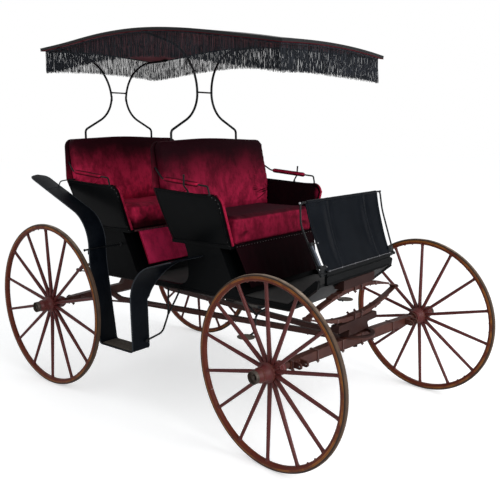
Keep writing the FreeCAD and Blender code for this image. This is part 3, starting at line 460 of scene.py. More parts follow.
def makeDustVeil():  # pale dust, most of it on what faces up
    group, given, result = newGroup("dustVeil", [
        ("Color", "Color", (0.1, 0.1, 0.1, 1)), ("Roughness", "Float", 0.4),
        ("Dust", "Color", (0.30, 0.27, 0.23, 1)), ("Amount", "Float", 0.3)],
        [("Color", "Color"), ("Roughness", "Float")])
    settling = ranged(group, facing(group, "Z"), 0.1, 1.0, 0.12, 1.0, True)
    coarse = ranged(group, objectNoise(group, 5, 6), 0.35, 0.7, 0.35, 1.0)
    fine = ranged(group, objectNoise(group, 60, 3), 0.3, 0.75, 0.6, 1.0)
    cover = times(group, times(group, settling, coarse, fine), given["Amount"], clamp=True)
    rough = addNode(group, "ShaderNodeMix", {0: cover, 2: given["Roughness"], 3: 0.85}).outputs[0]
    feed(group, result, {"Color": blend(group, cover, given["Color"], given["Dust"]), "Roughness": rough})
    return group


def makeWearEdge():  # mask of rubbed edges, and the normal with those edges eased
    group, given, result = newGroup("wearEdge", [("Radius", "Float", 0.002), ("Amount", "Float", 0.5)],
                                    [("Mask", "Float"), ("Normal", "Vector")])
    eased = addNode(group, "ShaderNodeBevel", {"Radius": given["Radius"]}, samples=4).outputs[0]
    normal = addNode(group, "ShaderNodeNewGeometry").outputs["Normal"]
    agree = addNode(group, "ShaderNodeVectorMath", {0: eased, 1: normal}, operation="DOT_PRODUCT").outputs["Value"]
    edge = ranged(group, agree, 0.995, 0.80)
    patchy = ranged(group, objectNoise(group, 22, 5), 0.42, 0.6)
    mask = times(group, times(group, edge, patchy), given["Amount"], clamp=True)
    feed(group, result, {"Mask": mask, "Normal": eased})
    return group


def makeVelvetPile():  # crushed pile: lit and shaded patches that run down the cloth
    group, given, result = newGroup("velvetPile", [
        ("Deep", "Color", (0.1, 0.001, 0.008, 1)), ("Light", "Color", (0.4, 0.02, 0.06, 1)),
        ("Streak", "Float", 1.0), ("Top", "Float", 0.1)], [("Color", "Color"), ("Height", "Float")])
    streaks = objectNoise(group, 11, 6, (1.0, 1.0, 0.55), 0.66)
    crush = objectNoise(group, 34, 4, (1, 1, 0.7), 0.65)
    mixed = number(group, "ADD", times(group, streaks, 0.6), times(group, crush, 0.4))
    lit = ranged(group, mixed, 0.38, 0.60, 0.40, 1.0, True)
    # painted shade: velvet that faces up or down is drawn darker than velvet that faces sideways; Top is the share
    # of light left on the upward faces
    skyward = facing(group, "Z")
    paintedTopShade = times(group, ranged(group, skyward, 0.45, 0.95, 1.0, given["Top"], True),
                ranged(group, skyward, -0.45, 0.05, 0.15, 1.0, True))
    lit = times(group, times(group, lit, paintedTopShade), given["Streak"], clamp=True)
    fuzz = times(group, objectNoise(group, 700, 2), 0.25)
    feed(group, result, {"Color": blend(group, lit, given["Deep"], given["Light"]),
                         "Height": number(group, "ADD", fuzz, crush)})
    return group


def makeLeatherGrain():  # pebbled grain with faint scuffs
    group, given, result = newGroup("leatherGrain", [("Color", "Color", (0.02, 0.02, 0.025, 1)),
                                                     ("Scuffs", "Float", 0.3)],
                                    [("Color", "Color"), ("Roughness", "Float"), ("Height", "Float")])
    cells = addNode(group, "ShaderNodeTexVoronoi", {"Vector": objectPlace(group), "Scale": 420})
    cloud = objectNoise(group, 7, 6)
    scratch = objectNoise(group, 34, 5, (1, 1, 0.25))
    scuff = times(group, ranged(group, scratch, 0.52, 0.72), given["Scuffs"], clamp=True)
    worn = addNode(group, "ShaderNodeHueSaturation", {"Color": given["Color"], "Value": 2.6,
                                                      "Saturation": 0.7}).outputs[0]
    tone = blend(group, ranged(group, cloud, 0.35, 0.7, 0, 0.30), given["Color"], worn)
    rough = number(group, "ADD", ranged(group, cloud, 0.3, 0.7, 0.3, 0.45), times(group, scuff, 0.3))
    feed(group, result, {"Color": blend(group, scuff, tone, worn), "Roughness": rough,
                         "Height": number(group, "ADD", cells.outputs["Distance"], times(group, cloud, 0.6))})
    return group


def makePaintCoat():  # painted wood: brushed tone, faded patches and bare edges
    group, given, result = newGroup("paintCoat", [
        ("Paint", "Color", (0.2, 0.05, 0.05, 1)), ("Faded", "Color", (0.3, 0.12, 0.1, 1)),
        ("Bare", "Color", (0.3, 0.13, 0.05, 1)), ("Fade", "Float", 0.5), ("Wear", "Float", 0.5),
        ("Ease", "Float", 0.002)], [("Color", "Color"), ("Normal", "Vector"), ("Height", "Float")])
    patches = ranged(group, objectNoise(group, 11, 6), 0.38, 0.66)
    tone = blend(group, times(group, patches, given["Fade"]), given["Paint"], given["Faded"])
    edge = useGroup(group, "wearEdge", Radius=given["Ease"], Amount=given["Wear"])
    feed(group, result, {"Color": blend(group, edge["Mask"], tone, given["Bare"]), "Normal": edge["Normal"],
                         "Height": objectNoise(group, 140, 4)})
    return group


def useGroup(tree, name, **values):
    return addNode(tree, "ShaderNodeGroup", values, node_tree=groups[name]).outputs


groups = {}
for maker in (makeDustVeil, makeWearEdge, makeVelvetPile, makeLeatherGrain, makePaintCoat):
    made = maker()
    groups[made.name] = made


def addBump(tree, inputs, height, strength, distance, normal=None):
    values = {"Height": height, "Strength": strength, "Distance": distance}
    if normal is not None:
        values["Normal"] = normal
    tree.links.new(addNode(tree, "ShaderNodeBump", values).outputs[0], inputs["Normal"])


def dusted(tree, inputs, color, roughness, amount):
    veil = useGroup(tree, "dustVeil", Color=color, Roughness=roughness, Amount=amount)
    tree.links.new(veil["Color"], inputs["Base Color"])
    tree.links.new(veil["Roughness"], inputs["Roughness"])


colors = {
    "velvetDeep": (0.020, 0.0010, 0.0038, 1),
    "velvetLight": (0.36, 0.010, 0.042, 1),
    "velvetSheen": (1.0, 0.22, 0.36, 1),
    "gearPaint": (0.038, 0.0078, 0.0052, 1),
    "gearFaded": (0.066, 0.020, 0.012, 1),
    "gearBare": (0.20, 0.085, 0.030, 1),
    "spokePaint": (0.082, 0.0135, 0.0135, 1),
    "blackPaint": (0.0017, 0.0021, 0.0025, 1),
    "blackFaded": (0.0034, 0.0040, 0.0044, 1),
    "leather": (0.0012, 0.0022, 0.0040, 1),
    "iron": (0.0036, 0.0042, 0.0050, 1),
    "rubber": (0.026, 0.015, 0.009, 1),
    "mat": (0.0060, 0.0066, 0.0076, 1),
    "step": (0.085, 0.072, 0.058, 1),
}


def paintedLightRamp(tree, axis, low, high, toLow, toHigh):  # painted light and shade: how far the velvet is drawn lit rather than shaded along an axis
    wander = times(tree, number(tree, "SUBTRACT", objectNoise(tree, 6, 4), 0.5), 0.12)
    reach = number(tree, "ADD", axisOf(tree, objectPlace(tree), axis), wander)
    return ranged(tree, reach, low, high, toLow, toHigh, True)


def newVelvet(name, deep, sheen):
    return newMaterial(name, deep, 0.75, Sheen_Weight=sheen, Sheen_Roughness=0.32,
                       Sheen_Tint=colors["velvetSheen"], Specular_IOR_Level=0.05)


def makeVelvet(name, deep, light, streak=1.0, top=0.1, sheen=0.05, lightRamp=None):
    material, tree, inputs = newVelvet(name, deep, sheen)
    pile = useGroup(tree, "velvetPile", Deep=deep, Light=light, Streak=streak, Top=top)
    # where a lightRamp is given, the velvet is painted shaded at one end of an axis and lit at the other
    color = blend(tree, paintedLightRamp(tree, *lightRamp), deep, pile["Color"]) if lightRamp else pile["Color"]
    tree.links.new(color, inputs["Base Color"])
    addBump(tree, inputs, pile["Height"], 0.35, 0.002)
    return material


def makePaint(name, paint, faded, bare, roughness, fade, wear, dust, coat, ease, shine):
    material, tree, inputs = newMaterial(name, paint, roughness, Coat_Weight=coat, Coat_Roughness=0.18,
                                         Specular_IOR_Level=shine)
    film = useGroup(tree, "paintCoat", Paint=paint, Faded=faded, Bare=bare, Fade=fade, Wear=wear, Ease=ease)
    dusted(tree, inputs, film["Color"], roughness, dust)
    addBump(tree, inputs, film["Height"], 0.12, 0.0006, film["Normal"])
    return material


def makeLeather(name, color, scuffs, dust):
    material, tree, inputs = newMaterial(name, color, 0.35, Specular_IOR_Level=0.055)
    grain = useGroup(tree, "leatherGrain", Color=color, Scuffs=scuffs)
    dusted(tree, inputs, grain["Color"], grain["Roughness"], dust)
    addBump(tree, inputs, grain["Height"], 0.18, 0.0006)
    return material


def makeMetal(name, color, roughness, metallic, dust=0.1, spots=0.0, spotColor=(0.1, 0.04, 0.02, 1)):
    material, tree, inputs = newMaterial(name, color, roughness, metallic)
    pitted = objectNoise(tree, 90, 5)
    tone = blend(tree, times(tree, ranged(tree, pitted, 0.5, 0.68), spots, clamp=True), color, spotColor)
    dusted(tree, inputs, tone, roughness, dust)
    addBump(tree, inputs, pitted, 0.15, 0.0005)
    return material


velvet = makeVelvet("velvet", colors["velvetDeep"], colors["velvetLight"])
gearPaint = makePaint("gearPaint", colors["gearPaint"], colors["gearFaded"], colors["gearBare"],
                      0.50, 0.5, 0.6, 0.06, 0.04, 0.002, 0.22)
spokePaint = makePaint("spokePaint", colors["spokePaint"], colors["gearFaded"], colors["gearBare"],
                       0.42, 0.30, 0.6, 0.02, 0.06, 0.0025, 0.20)
blackPaint = makePaint("blackPaint", colors["blackPaint"], colors["blackFaded"], (0.05, 0.045, 0.04, 1),
                       0.38, 0.5, 0.30, 0.006, 0.0, 0.002, 0.055)
ironPaint = makePaint("ironPaint", colors["iron"], (0.010, 0.0105, 0.0115, 1), (0.06, 0.045, 0.035, 1),
                      0.36, 0.4, 0.3, 0.008, 0.03, 0.001, 0.14)
leather = makeLeather("leather", colors["leather"], 0.25, 0.012)
print("shapes and materials ready")


# wheels

wheelValues = {
    "track": 1.422,
    "wheelBase": 1.890,
    "frontRadius": 0.4826,
    "rearRadius": 0.5334,
    "spokes": 14,
    "felloes": 7,
    "tyreDepth": 0.011,
    "felloeDepth": 0.024,
    "felloeHalf": 0.015,
    "dish": 0.022,
    "wideStripe": (0.0050, 0.0105),     # depth below the rim's edge
    "thinStripe": 0.0036,
    "felloeColors": ((0.092, 0.0145, 0.0065, 1), (0.130, 0.029, 0.011, 1), (0.24, 0.11, 0.045, 1)),
    "stripeColor": (0.24, 0.080, 0.016, 1),
    "thinColor": (0.24, 0.085, 0.010, 1),
    "darkColor": (0.05, 0.018, 0.012, 1),
    "treadColor": (0.070, 0.036, 0.017, 1),
    "dustAndTopHighlight": (0.34, 0.27, 0.21, 1),
}


def flowOf(tree):
    return addNode(tree, "ShaderNodeAttribute", attribute_name="flow").outputs["Vector"]


def felloeMaterial():
    values = wheelValues
    material, tree, inputs = newMaterial("felloePaint", colors["spokePaint"], 0.4, Specular_IOR_Level=0.16)
    depth, height, _ = addNode(tree, "ShaderNodeSeparateXYZ", {0: flowOf(tree)}).outputs
    paint, faded, bare = values["felloeColors"]
    film = useGroup(tree, "paintCoat", Paint=paint, Faded=faded, Bare=bare, Fade=0.4, Wear=0.7, Ease=0.0015)
    onFace = number(tree, "GREATER_THAN", number(tree, "ABSOLUTE", height), 0.0125)
    wobble = times(tree, number(tree, "SUBTRACT", objectNoise(tree, 30, 3), 0.5), 0.003)
    ragged = number(tree, "ADD", depth, wobble)
    low, high = values["wideStripe"]
    below = number(tree, "GREATER_THAN", ragged, low)
    thin = number(tree, "LESS_THAN", ragged, values["thinStripe"])
    dark = times(tree, number(tree, "GREATER_THAN", ragged, values["thinStripe"]),
                 number(tree, "LESS_THAN", ragged, low))
    rubbed = ranged(tree, objectNoise(tree, 14, 5), 0.36, 0.56)
    wide = times(tree, below, number(tree, "LESS_THAN", ragged, high), onFace, rubbed)
    color = blend(tree, wide, film["Color"], values["stripeColor"])
    color = blend(tree, times(tree, thin, onFace, rubbed), color, values["thinColor"])
    color = blend(tree, times(tree, dark, onFace), color, values["darkColor"])
    dusted(tree, inputs, color, 0.4, 0.02)
    addBump(tree, inputs, film["Height"], 0.15, 0.0006, film["Normal"])
    return material


def rubberMaterial():
    material, tree, inputs = newMaterial("tyreRubber", colors["rubber"], 0.6, Specular_IOR_Level=0.3)
    tread = ranged(tree, axisOf(tree, flowOf(tree), "X"), 0.008, 0.0012, 0.0, 1.0, True)
    mottled = ranged(tree, objectNoise(tree, 12, 6), 0.35, 0.65, 0.25, 1.0)
    color = blend(tree, times(tree, tread, mottled), colors["rubber"], wheelValues["treadColor"])
    # paler where the tread faces up: road dust, and a painted highlight of the light from above
    above = ranged(tree, facing(tree, "Z"), 0.55, 0.95, 0.0, 0.85, True)
    color = blend(tree, times(tree, above, mottled), color, wheelValues["dustAndTopHighlight"])
    tree.links.new(color, inputs["Base Color"])
    addBump(tree, inputs, objectNoise(tree, 160, 4), 0.3, 0.001)
    return material


felloePaint = felloeMaterial()
tyreRubber = rubberMaterial()
channelIron = makeMetal("channelIron", (0.035, 0.02, 0.016, 1), 0.6, 0.3, 0.1)
hubBand = makeMetal("hubBand", (0.045, 0.033, 0.026, 1), 0.45, 0.55, 0.2, 0.4)


def arcLathe(shell, profile, angles, outer, shade=0, looped=False):  # with each corner's depth below the rim
    rows = [Vector((radius * math.cos(angle), radius * math.sin(angle), height))
            for angle in angles for radius, height in profile]
    flow = [(outer - radius, height, 0) for _ in angles for radius, height in profile]
    shell.add(rows, ringFaces(len(angles), len(profile), looped), shade, flow)


def mirrored(profile):  # the profile, and its other half across the middle
    return profile + [(radius, -height) for radius, height in reversed(profile)]


# share along the spoke, half width, half depth and squareness
spokeShapes = ((0, 0.0095, 0.0125, 4), (0.035, 0.0100, 0.0130, 4), (0.09, 0.0088, 0.0135, 2.6),
               (0.18, 0.0098, 0.0130, 2.1), (0.35, 0.0100, 0.0122, 2), (0.60, 0.0094, 0.0110, 2),
               (0.85, 0.0088, 0.0100, 2), (0.955, 0.0086, 0.0096, 2), (0.985, 0.0100, 0.0108, 2.2),
               (1.0, 0.0103, 0.0110, 2.4))
hubProfile = [(0.0195, -0.100), (0.036, -0.100), (0.0372, -0.098), (0.0372, -0.084), (0.036, -0.082),
              (0.038, -0.079), (0.047, -0.056), (0.0495, -0.0495), (0.052, -0.0488), (0.052, -0.043),
              (0.0475, -0.042), (0.0475, -0.002), (0.052, -0.001), (0.052, 0.0038), (0.0495, 0.0042),
              (0.0445, 0.008), (0.0395, 0.016), (0.0375, 0.030), (0.0362, 0.045), (0.0385, 0.0455),
              (0.0385, 0.0535), (0.0355, 0.0542), (0.0345, 0.066), (0.0312, 0.071), (0.0305, 0.084)]
bandProfile = [(0.0300, 0.081), (0.0328, 0.0815), (0.0330, 0.099), (0.0322, 0.100), (0.0292, 0.100),
               (0.0286, 0.0985), (0.0280, 0.088), (0.012, 0.0865), (0.0002, 0.0865)]


def makeSpokedWheel(radius):  # about the Z axis, outboard side up
    values = wheelValues
    shell = Shell()
    outer = radius - values["tyreDepth"]
    inner = outer - values["felloeDepth"]
    half = values["felloeHalf"]
    count = values["spokes"]
    profile = mirrored([(inner, -half * 0.55), (inner + 0.0025, -half * 0.82), (inner + 0.006, -half),
                        (outer - 0.0015, -half), (outer, -half + 0.0012)])
    turn = math.tau / values["felloes"]
    joint = 0.0008 / outer
    for index in range(values["felloes"]):
        start = math.pi / count + index * turn + joint
        arcLathe(shell, profile, span(start, start + turn - 2 * joint, 16), outer, 1)
    rim = mirrored([(outer - 0.0006, -half * 0.9), (outer + 0.0036, -half * 0.93)])
    lathe(shell, rim, 112, shade=2, closed=True)

    root = Vector((0.047, 0, -values["dish"]))
    tip = Vector((inner + 0.003, 0, 0))
    sides = 14

    def spun(index, *point):
        return Matrix.Rotation(math.tau * index / count, 3, "Z") @ Vector(point)

    for index in range(count):
        rows = []
        for share, wide, deep, power in spokeShapes:
            middle = root.lerp(tip, share)
            for c, s in circle(1, sides):
                across = math.copysign(abs(c) ** (2 / power), c) * wide
                rise = math.copysign(abs(s) ** (2 / power), s) * deep
                rows.append(spun(index, middle.x, middle.y + across, middle.z + rise))
        shell.add(rows, ringFaces(len(spokeShapes), sides))
        if index % 2 == 0:  # rivets beside each joint of the felloes
            for offset in (-0.028, 0.028):
                aside = index + 0.5 + offset / inner * count / math.tau
                domed(shell, spun(aside, inner + 0.0008, 0, 0), spun(aside, -1, 0, 0), 0.0052, 0.006)
        for spot, height, axis in ((index + 0.5, 0.0042, toSky), (index + 0.5, -0.0482, toGround),
                                   (index, 0.0042, toSky)):
            domed(shell, spun(spot, 0.0435, 0, height), axis, 0.0042, 0.003, 3, 8)
    lathe(shell, hubProfile, 40)
    lathe(shell, bandProfile, 40, shade=3)
    addBox(shell, (-0.010, -0.010, 0.0865), (0.010, 0.010, 0.094), 0.0012, shade=3)
    return shell


def makeTyreShell(radius):
    shell = Shell()
    foot = radius - wheelValues["tyreDepth"] + 0.0015
    profile = mirrored([(foot, -0.0115), (foot + 0.0025, -0.0124), (foot + 0.006, -0.0120),
                        (radius - 0.004, -0.0100), (radius - 0.0016, -0.0075), (radius - 0.0004, -0.0042)])
    profile.insert(len(profile) // 2, (radius, 0))
    arcLathe(shell, profile, span(0, math.tau, 144)[:-1], radius, looped=True)
    return shell


def makeWheels():
    for axle, along in (("front", 0), ("rear", wheelValues["wheelBase"])):
        radius = wheelValues[axle + "Radius"]
        wheelShell = makeSpokedWheel(radius)
        tyreShell = makeTyreShell(radius)
        turn = Matrix.Rotation(steerRest if axle == "front" else 0, 4, "Z")
        for side, sign in (("left", 1), ("right", -1)):
            seat = Matrix.Translation((sign * wheelValues["track"] / 2, along, radius))
            matrix = (Matrix.Translation(at(0, 0, 0)) @ turn @ seat
                      @ Matrix.Rotation(sign * math.pi / 2, 4, "Y"))
            place = axle + "_" + side
            title = axle.capitalize() + side.capitalize()
            wheelShell.turned(matrix).piece("spokedWheel" + title, [spokePaint, felloePaint, channelIron, hubBand],
                                            ["wheel_" + place], "wheel_" + place, 50)
            tyreShell.turned(matrix).piece("rubberTyre" + title, [tyreRubber], ["tyre_" + place], "wheel_" + place)


makeWheels()
print("wheels ready")


# undercarriage: clips, bolts and stays on the axles, springs and reaches

gearValues = {
    "frontAxle": 482.6,
    "rearAxle": 533.4,
    "wheelBase": 1890,
    "bedHalfWidth": 22.5,
    "bedDrop": 20,
    "bedRise": 32,
    "bedEndRise": 22,
    "bedHalf": 560,
    "springHalf": 465,
    "leafHalf": 19,
    "stack": 24,
    "frontClips": (-548, -352, -138, 39, 138, 352, 548),
    "rearClips": (-540, -330, -232, 232, 330, 540),
    "frontSpring": (0, 607.9, 71),      # place along the carriage, foot and arch
    "rearSpring": (1890, 630.9, 67),
    "clipRod": 0.0042,
    "trussSection": (0.020, 0.0036, 0.001),
}

gearIron = makePaint("gearIron", (0.045, 0.013, 0.011, 1), (0.075, 0.028, 0.021, 1), (0.12, 0.055, 0.03, 1),
                     0.44, 0.5, 0.5, 0.10, 0.12, 0.001, 0.35)


def bedTop(across):
    values = gearValues
    flat = 0.35 * values["bedHalf"]
    share = max(abs(across) - flat, 0) / (values["bedHalf"] - flat)
    return values["bedRise"] + (values["bedEndRise"] - values["bedRise"]) * min(share, 1)


def standing(point):
    return at(*point)


def steered(point):
    c, s = math.cos(steerRest), math.sin(steerRest)
    return at(point.x * c - point.y * s, point.x * s + point.y * c, point.z)


def axleClip(shell, place, across, along, height):  # strap round an axle bed, its nuts on a plate beneath
    values = gearValues
    half = values["bedHalfWidth"] + 1.6
    top = height + bedTop(across) + 1.2
    bottom = height - values["bedDrop"]
    for offset in (-half, half):
        line = [place(Vector((across, along + offset, z))) for z in (bottom - 12, top - 2)]
        rod(shell, line, [], values["clipRod"], 10)
        bolt(shell, place(Vector((across, along + offset, bottom - 4))), toGround, "clip")
    spin = Matrix.Rotation(steerRest if place is steered else 0, 4, "Z")
    for z, thick in ((bottom - 2, 0.002), (top, 0.0018)):
        addBox(shell, (-0.008, -0.0285, -thick), (0.008, 0.0285, thick), 0.0008,
               Matrix.Translation(place(Vector((across, along, z)))) @ spin)


def springFittings(shell, along, foot, arch):
    values = gearValues
    eye = foot + values["stack"] + arch
    top = eye + arch + values["stack"]
    half = values["leafHalf"]
    for sign, inner, outer in ((-1, foot + 24.6, foot - 2.5), (1, top - 24.6, top + 2.5)):
        low, high = sorted((inner, inner - sign * 4))
        addBox(shell, at(-46, along - half - 3, low), at(46, along + half + 3, high), 0.0012)
        for across in (-36, 36):
            for offset in (-half - 5, half + 5):
                rod(shell, [at(across, along + offset, outer - sign * 8), at(across, along + offset, inner)],
                    [], values["clipRod"], 8)
                bolt(shell, at(across, along + offset, inner - sign * 3.5), Vector((0, 0, -sign)), "plate")
            bridge = [at(across, along + offset, outer - sign * (3 if abs(offset) > half else 0.2))
                      for offset in (-half - 5, -half, half, half + 5)]
            sweep(shell, bridge, circle(values["clipRod"], 8))
    # a rebound clip round the leaves on each arm of the spring
    radius = (values["springHalf"] ** 2 + arch ** 2) / (2 * arch)
    near, far = half + 0.4, half + 2.6
    for across in (-205, 205):
        sag = radius - math.sqrt(radius ** 2 - across ** 2)
        for sign in (-1, 1):
            matrix = (Matrix.Translation(at(across, along, eye + sign * (arch - sag + 8.6)))
                      @ Matrix.Rotation(sign * math.asin(across / radius), 4, "Y"))
            low, high = (9.6, 11.8) if sign > 0 else (-11.8, -9.6)
            for y, z in (((-far, -near), (-11, 11)), ((near, far), (-11, 11)), ((-far, far), (low, high))):
                addBox(shell, Vector((-9, y[0], z[0])) / 1000, Vector((9, y[1], z[1])) / 1000, 0.0006, matrix)
    for across in (-values["springHalf"], values["springHalf"]):
        for sign in (-1, 1):
            bolt(shell, at(across, along + sign * half, eye), Vector((0, sign, 0)), "eye")


def makeFrontGearTrim():
    values = gearValues
    height = values["frontAxle"]
    shell = Shell()
    for across in values["frontClips"]:
        axleClip(shell, steered, across, 0, height)
    ahead = Vector((math.sin(steerRest), -math.cos(steerRest), 0))
    for side in (-1, 1):  # bolts of the coupling's plate
        for hole in (-10.8, 10.8):
            for up in (-8, 12):
                domed(shell, steered(Vector((side * 515 + hole, -28.6, height + up))), ahead, 0.005, 0.003)
    for x, y in circle(100, 8):  # screws of the turning plate
        spot = Matrix.Rotation(math.pi / 8, 3, "Z") @ Vector((x, y, 0))
        domed(shell, steered(spot + Vector((0, 0, height + 31.8))), toGround, 0.004, 0.002)
    shell.piece("frontAxleClips", [gearIron], body="front_gear")
    ties = Shell()
    for side in (-1, 1):
        line = [Vector((side * x, 0, height - drop)) for x, drop in ((545, 24), (360, 30), (150, 31), (0, 31))]
        path = [steered(point) for point in curve(line, 5)]
        sweep(ties, path, roundedBox(*values["trussSection"]), up=toSky)
    ties.piece("frontAxleTruss", [gearIron], body="front_gear")


def makeRearGearTrim():
    values = gearValues
    height = values["rearAxle"]
    along = values["wheelBase"]

    def onReach(side, share, z):
        return at(side * (22 + 200 * share), 84 + (1757 - 84) * share, z)

    shell = Shell()
    for across in values["rearClips"]:
        axleClip(shell, standing, across, along, height)
    springFittings(shell, *values["frontSpring"])
    springFittings(shell, *values["rearSpring"])
    for across in (-185, -110, 110, 185):  # nuts on the head block
        bolt(shell, at(across, 0, 567.8), toGround, "plate")
        domed(shell, at(across, 0, 607.9), toSky, 0.0065, 0.003)
    for side in (-1, 1):
        for share in (0.12, 0.42, 0.72, 0.94):
            bolt(shell, onReach(side, share, 475.4), toGround, "reach")
            domed(shell, onReach(side, share, 505.6), toSky, 0.006, 0.0028)
        for across in (120, 150):
            domed(shell, at(side * across, -30.3, 775 + (across - 120) * 0.2), toFront, 0.0055, 0.003)
    shell.piece("springAndAxleClips", [gearIron])
    stays = Shell()
    for side in (-1, 1):
        # round stays from the rear axle's ends forward to the reaches
        points = [at(side * 470, along - 27, height + 4), at(side * 455, along - 60, height - 4),
                  at(side * 176, along - 560, 500), at(side * 158, along - 610, 493)]
        rod(stays, points, [0.03, 0.05], 0.0065)
        for spot, axis in ((points[0], toFront), (points[-1], Vector((-side, 0, 0)))):
            domed(stays, spot, axis, 0.011, 0.006, sides=14)
            domed(stays, spot, -axis, 0.011, 0.006, sides=14)
        iron = [onReach(side, share, 474) for share in (0.0, 0.3, 0.7, 0.98)]
        sweep(stays, iron, roundedBox(0.022, 0.0034, 0.001), up=toSky)
        # truss iron under the rear bed
        line = [at(side * x, along, height - drop) for x, drop in ((545, 24), (330, 29), (0, 31))]
        sweep(stays, curve(line, 5), roundedBox(*values["trussSection"]), up=toSky)
    stays.piece("reachStays", [gearIron])


makeFrontGearTrim()
makeRearGearTrim()
print("undercarriage ready")


# seats

seatValues = {
    # painted light and shade: the rear seat's velvet is given lighter colours than the front's, and top is the
    # share of light left on the upward faces of each seat cushion
    "front": {"pitch": 0, "rise": 0, "fall": 235, "fallHalf": 382, "top": 0.16,
              "deep": (0.010, 0.0007, 0.0024, 1), "light": (0.33, 0.0115, 0.046, 1)},
    "rear": {"pitch": 856, "rise": 20, "fall": 222, "fallHalf": 350, "top": 0.5,
             "deep": (0.016, 0.0011, 0.0034, 1), "light": (0.86, 0.032, 0.115, 1)},
    "boardTop": 1011.9,
    "seatFront": 545,
    "backFoot": 1000,
    "panelThick": 12,
    "armFoot": 415,
    "armRows": ((0, 0), (77, 210.4), (102, 320)),
    "armHeight": 314,
    "armFrontHeight": 282,
    "lean": math.tan(math.radians(9)),
    "voxel": 0.009,
    "pressure": 4.0,
    "stiffness": 18,
    "clothFrames": 16,
    "shrink": 0.003,
    "swell": 0.009,         # how far the cloth may stand out
    "tackSpacing": 0.026,
    "armTack": (0.0030, 0.0022),
    "seatTack": (0.0028, 0.0018),
    "fallFoot": 327,
    "railRadius": 0.0052,
    "padRadius": 0.0158,
    "padLength": 270,
}


def seatPlace(name):  # heights and places of a seat: board's top, seat's front, back's foot
    values = seatValues
    pitch = values[name]["pitch"]
    return values["boardTop"] + values[name]["rise"], values["seatFront"] + pitch, values["backFoot"] + pitch


armCentre = circleThrough(*[(seatValues["armFoot"] + spread, up) for spread, up in seatValues["armRows"]])


def armFace(up, depth):  # half width over the arm panels at a height above the seat board
    across, height, radius = armCentre
    return across + math.copysign(math.sqrt(max(radius ** 2 - (up - height) ** 2, 0)),
                                  seatValues["armFoot"] - across) - depth


def lieOut(piece, mover):  # moves every corner by its own amount
    corners = piece.data.vertices
    for corner, move in zip(corners, [mover(corner) for corner in corners]):
        corner.co += move
    piece.data.update()


def crease(point, start, end, width, depth):  # a fold's cross-section at a point beside its line
    line = end - start
    share = (point - start).dot(line) / line.length_squared
    if share < 0 or share > 1:
        return 0
    away = (point - start - line * share).length
    if away > 3 * width:
        return 0
    fade = math.sin(math.pi * min(max(share, 0.02), 0.98)) ** 0.6
    return depth * fade * (math.exp(-(away / width) ** 2) - 0.45 * math.exp(-((away - 1.9 * width) / width) ** 2))


def inflate(piece):
    values = seatValues
    start = [corner.co.copy() for corner in piece.data.vertices]
    cloth = piece.modifiers.new("cloth", "CLOTH")
    for key, value in (("quality", 4), ("mass", 0.3), ("tension_stiffness", values["stiffness"]),
                       ("compression_stiffness", values["stiffness"]), ("bending_stiffness", 0.4),
                       ("use_pressure", True), ("uniform_pressure_force", values["pressure"])):
        setattr(cloth.settings, key, value)
    cloth.settings.effector_weights.gravity = 0
    cloth.point_cache.frame_start = 1
    cloth.point_cache.frame_end = values["clothFrames"]
    scene = bpy.context.scene
    for frameNumber in range(1, values["clothFrames"] + 1):
        scene.frame_set(frameNumber)
    settled(piece)
    scene.frame_set(1)

    def held(corner):
        move = corner.co - start[corner.index]
        return move * (values["swell"] / move.length - 1) if move.length > values["swell"] else Vector()

    lieOut(piece, held)


def stuffed(name, node, smoothing, drop, creases, material):
    # soft stand-in for one built solid: remeshed, inflated as cloth, creased
    shrink = seatValues["shrink"]
    mesh = bpy.data.objects[node].data.copy()
    work = bmesh.new()
    work.from_mesh(mesh)
    bmesh.ops.remove_doubles(work, verts=work.verts, dist=0.0001)
    work.to_mesh(mesh)
    work.free()
    piece = addObject(name, mesh)
    remesh = piece.modifiers.new("remesh", "REMESH")
    remesh.mode = "VOXEL"
    remesh.voxel_size = seatValues["voxel"]
    soften = piece.modifiers.new("soften", "SMOOTH")
    soften.factor = 0.5
    soften.iterations = smoothing
    settled(piece)
    lieOut(piece, lambda corner: corner.normal * -shrink)
    inflate(piece)
    low = min(corner.co.z for corner in piece.data.vertices)  # the foot settles on what it rests on
    lieOut(piece, lambda corner: Vector((0, 0, -drop * max(0, 1 - (corner.co.z - low) / 0.06))))
    fine = piece.modifiers.new("fine", "SUBSURF")
    fine.levels = fine.render_levels = 1
    settled(piece)
    lieOut(piece, lambda corner: corner.normal * sum(crease(corner.co, *fold) for fold in creases))
    piece.data.materials.clear()
    piece.data.materials.append(material)
    piece.data.shade_smooth()
    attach(piece, "carriage")
    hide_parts(node)
    return piece


def cornerFolds(origin, across, down, count, length, width, depth, seed):  # a fan of folds out of a corner
    folds = []
    for index in range(count):
        wander = noise.noise(Vector((seed, index * 1.7, 0.3)))
        angle = 1.2 * (index + 0.5) / count + wander * 0.12
        heading = across * math.cos(angle) + down * math.sin(angle)
        reach = length * (0.75 + 0.5 * abs(noise.noise(Vector((index * 2.3, seed, 1.1)))))
        begin = origin + heading * (0.012 + 0.006 * (index % 2))
        folds.append((begin, begin + heading * reach, width, depth * (0.8 + 0.4 * ((index * 7) % 3) / 2)))
    return folds


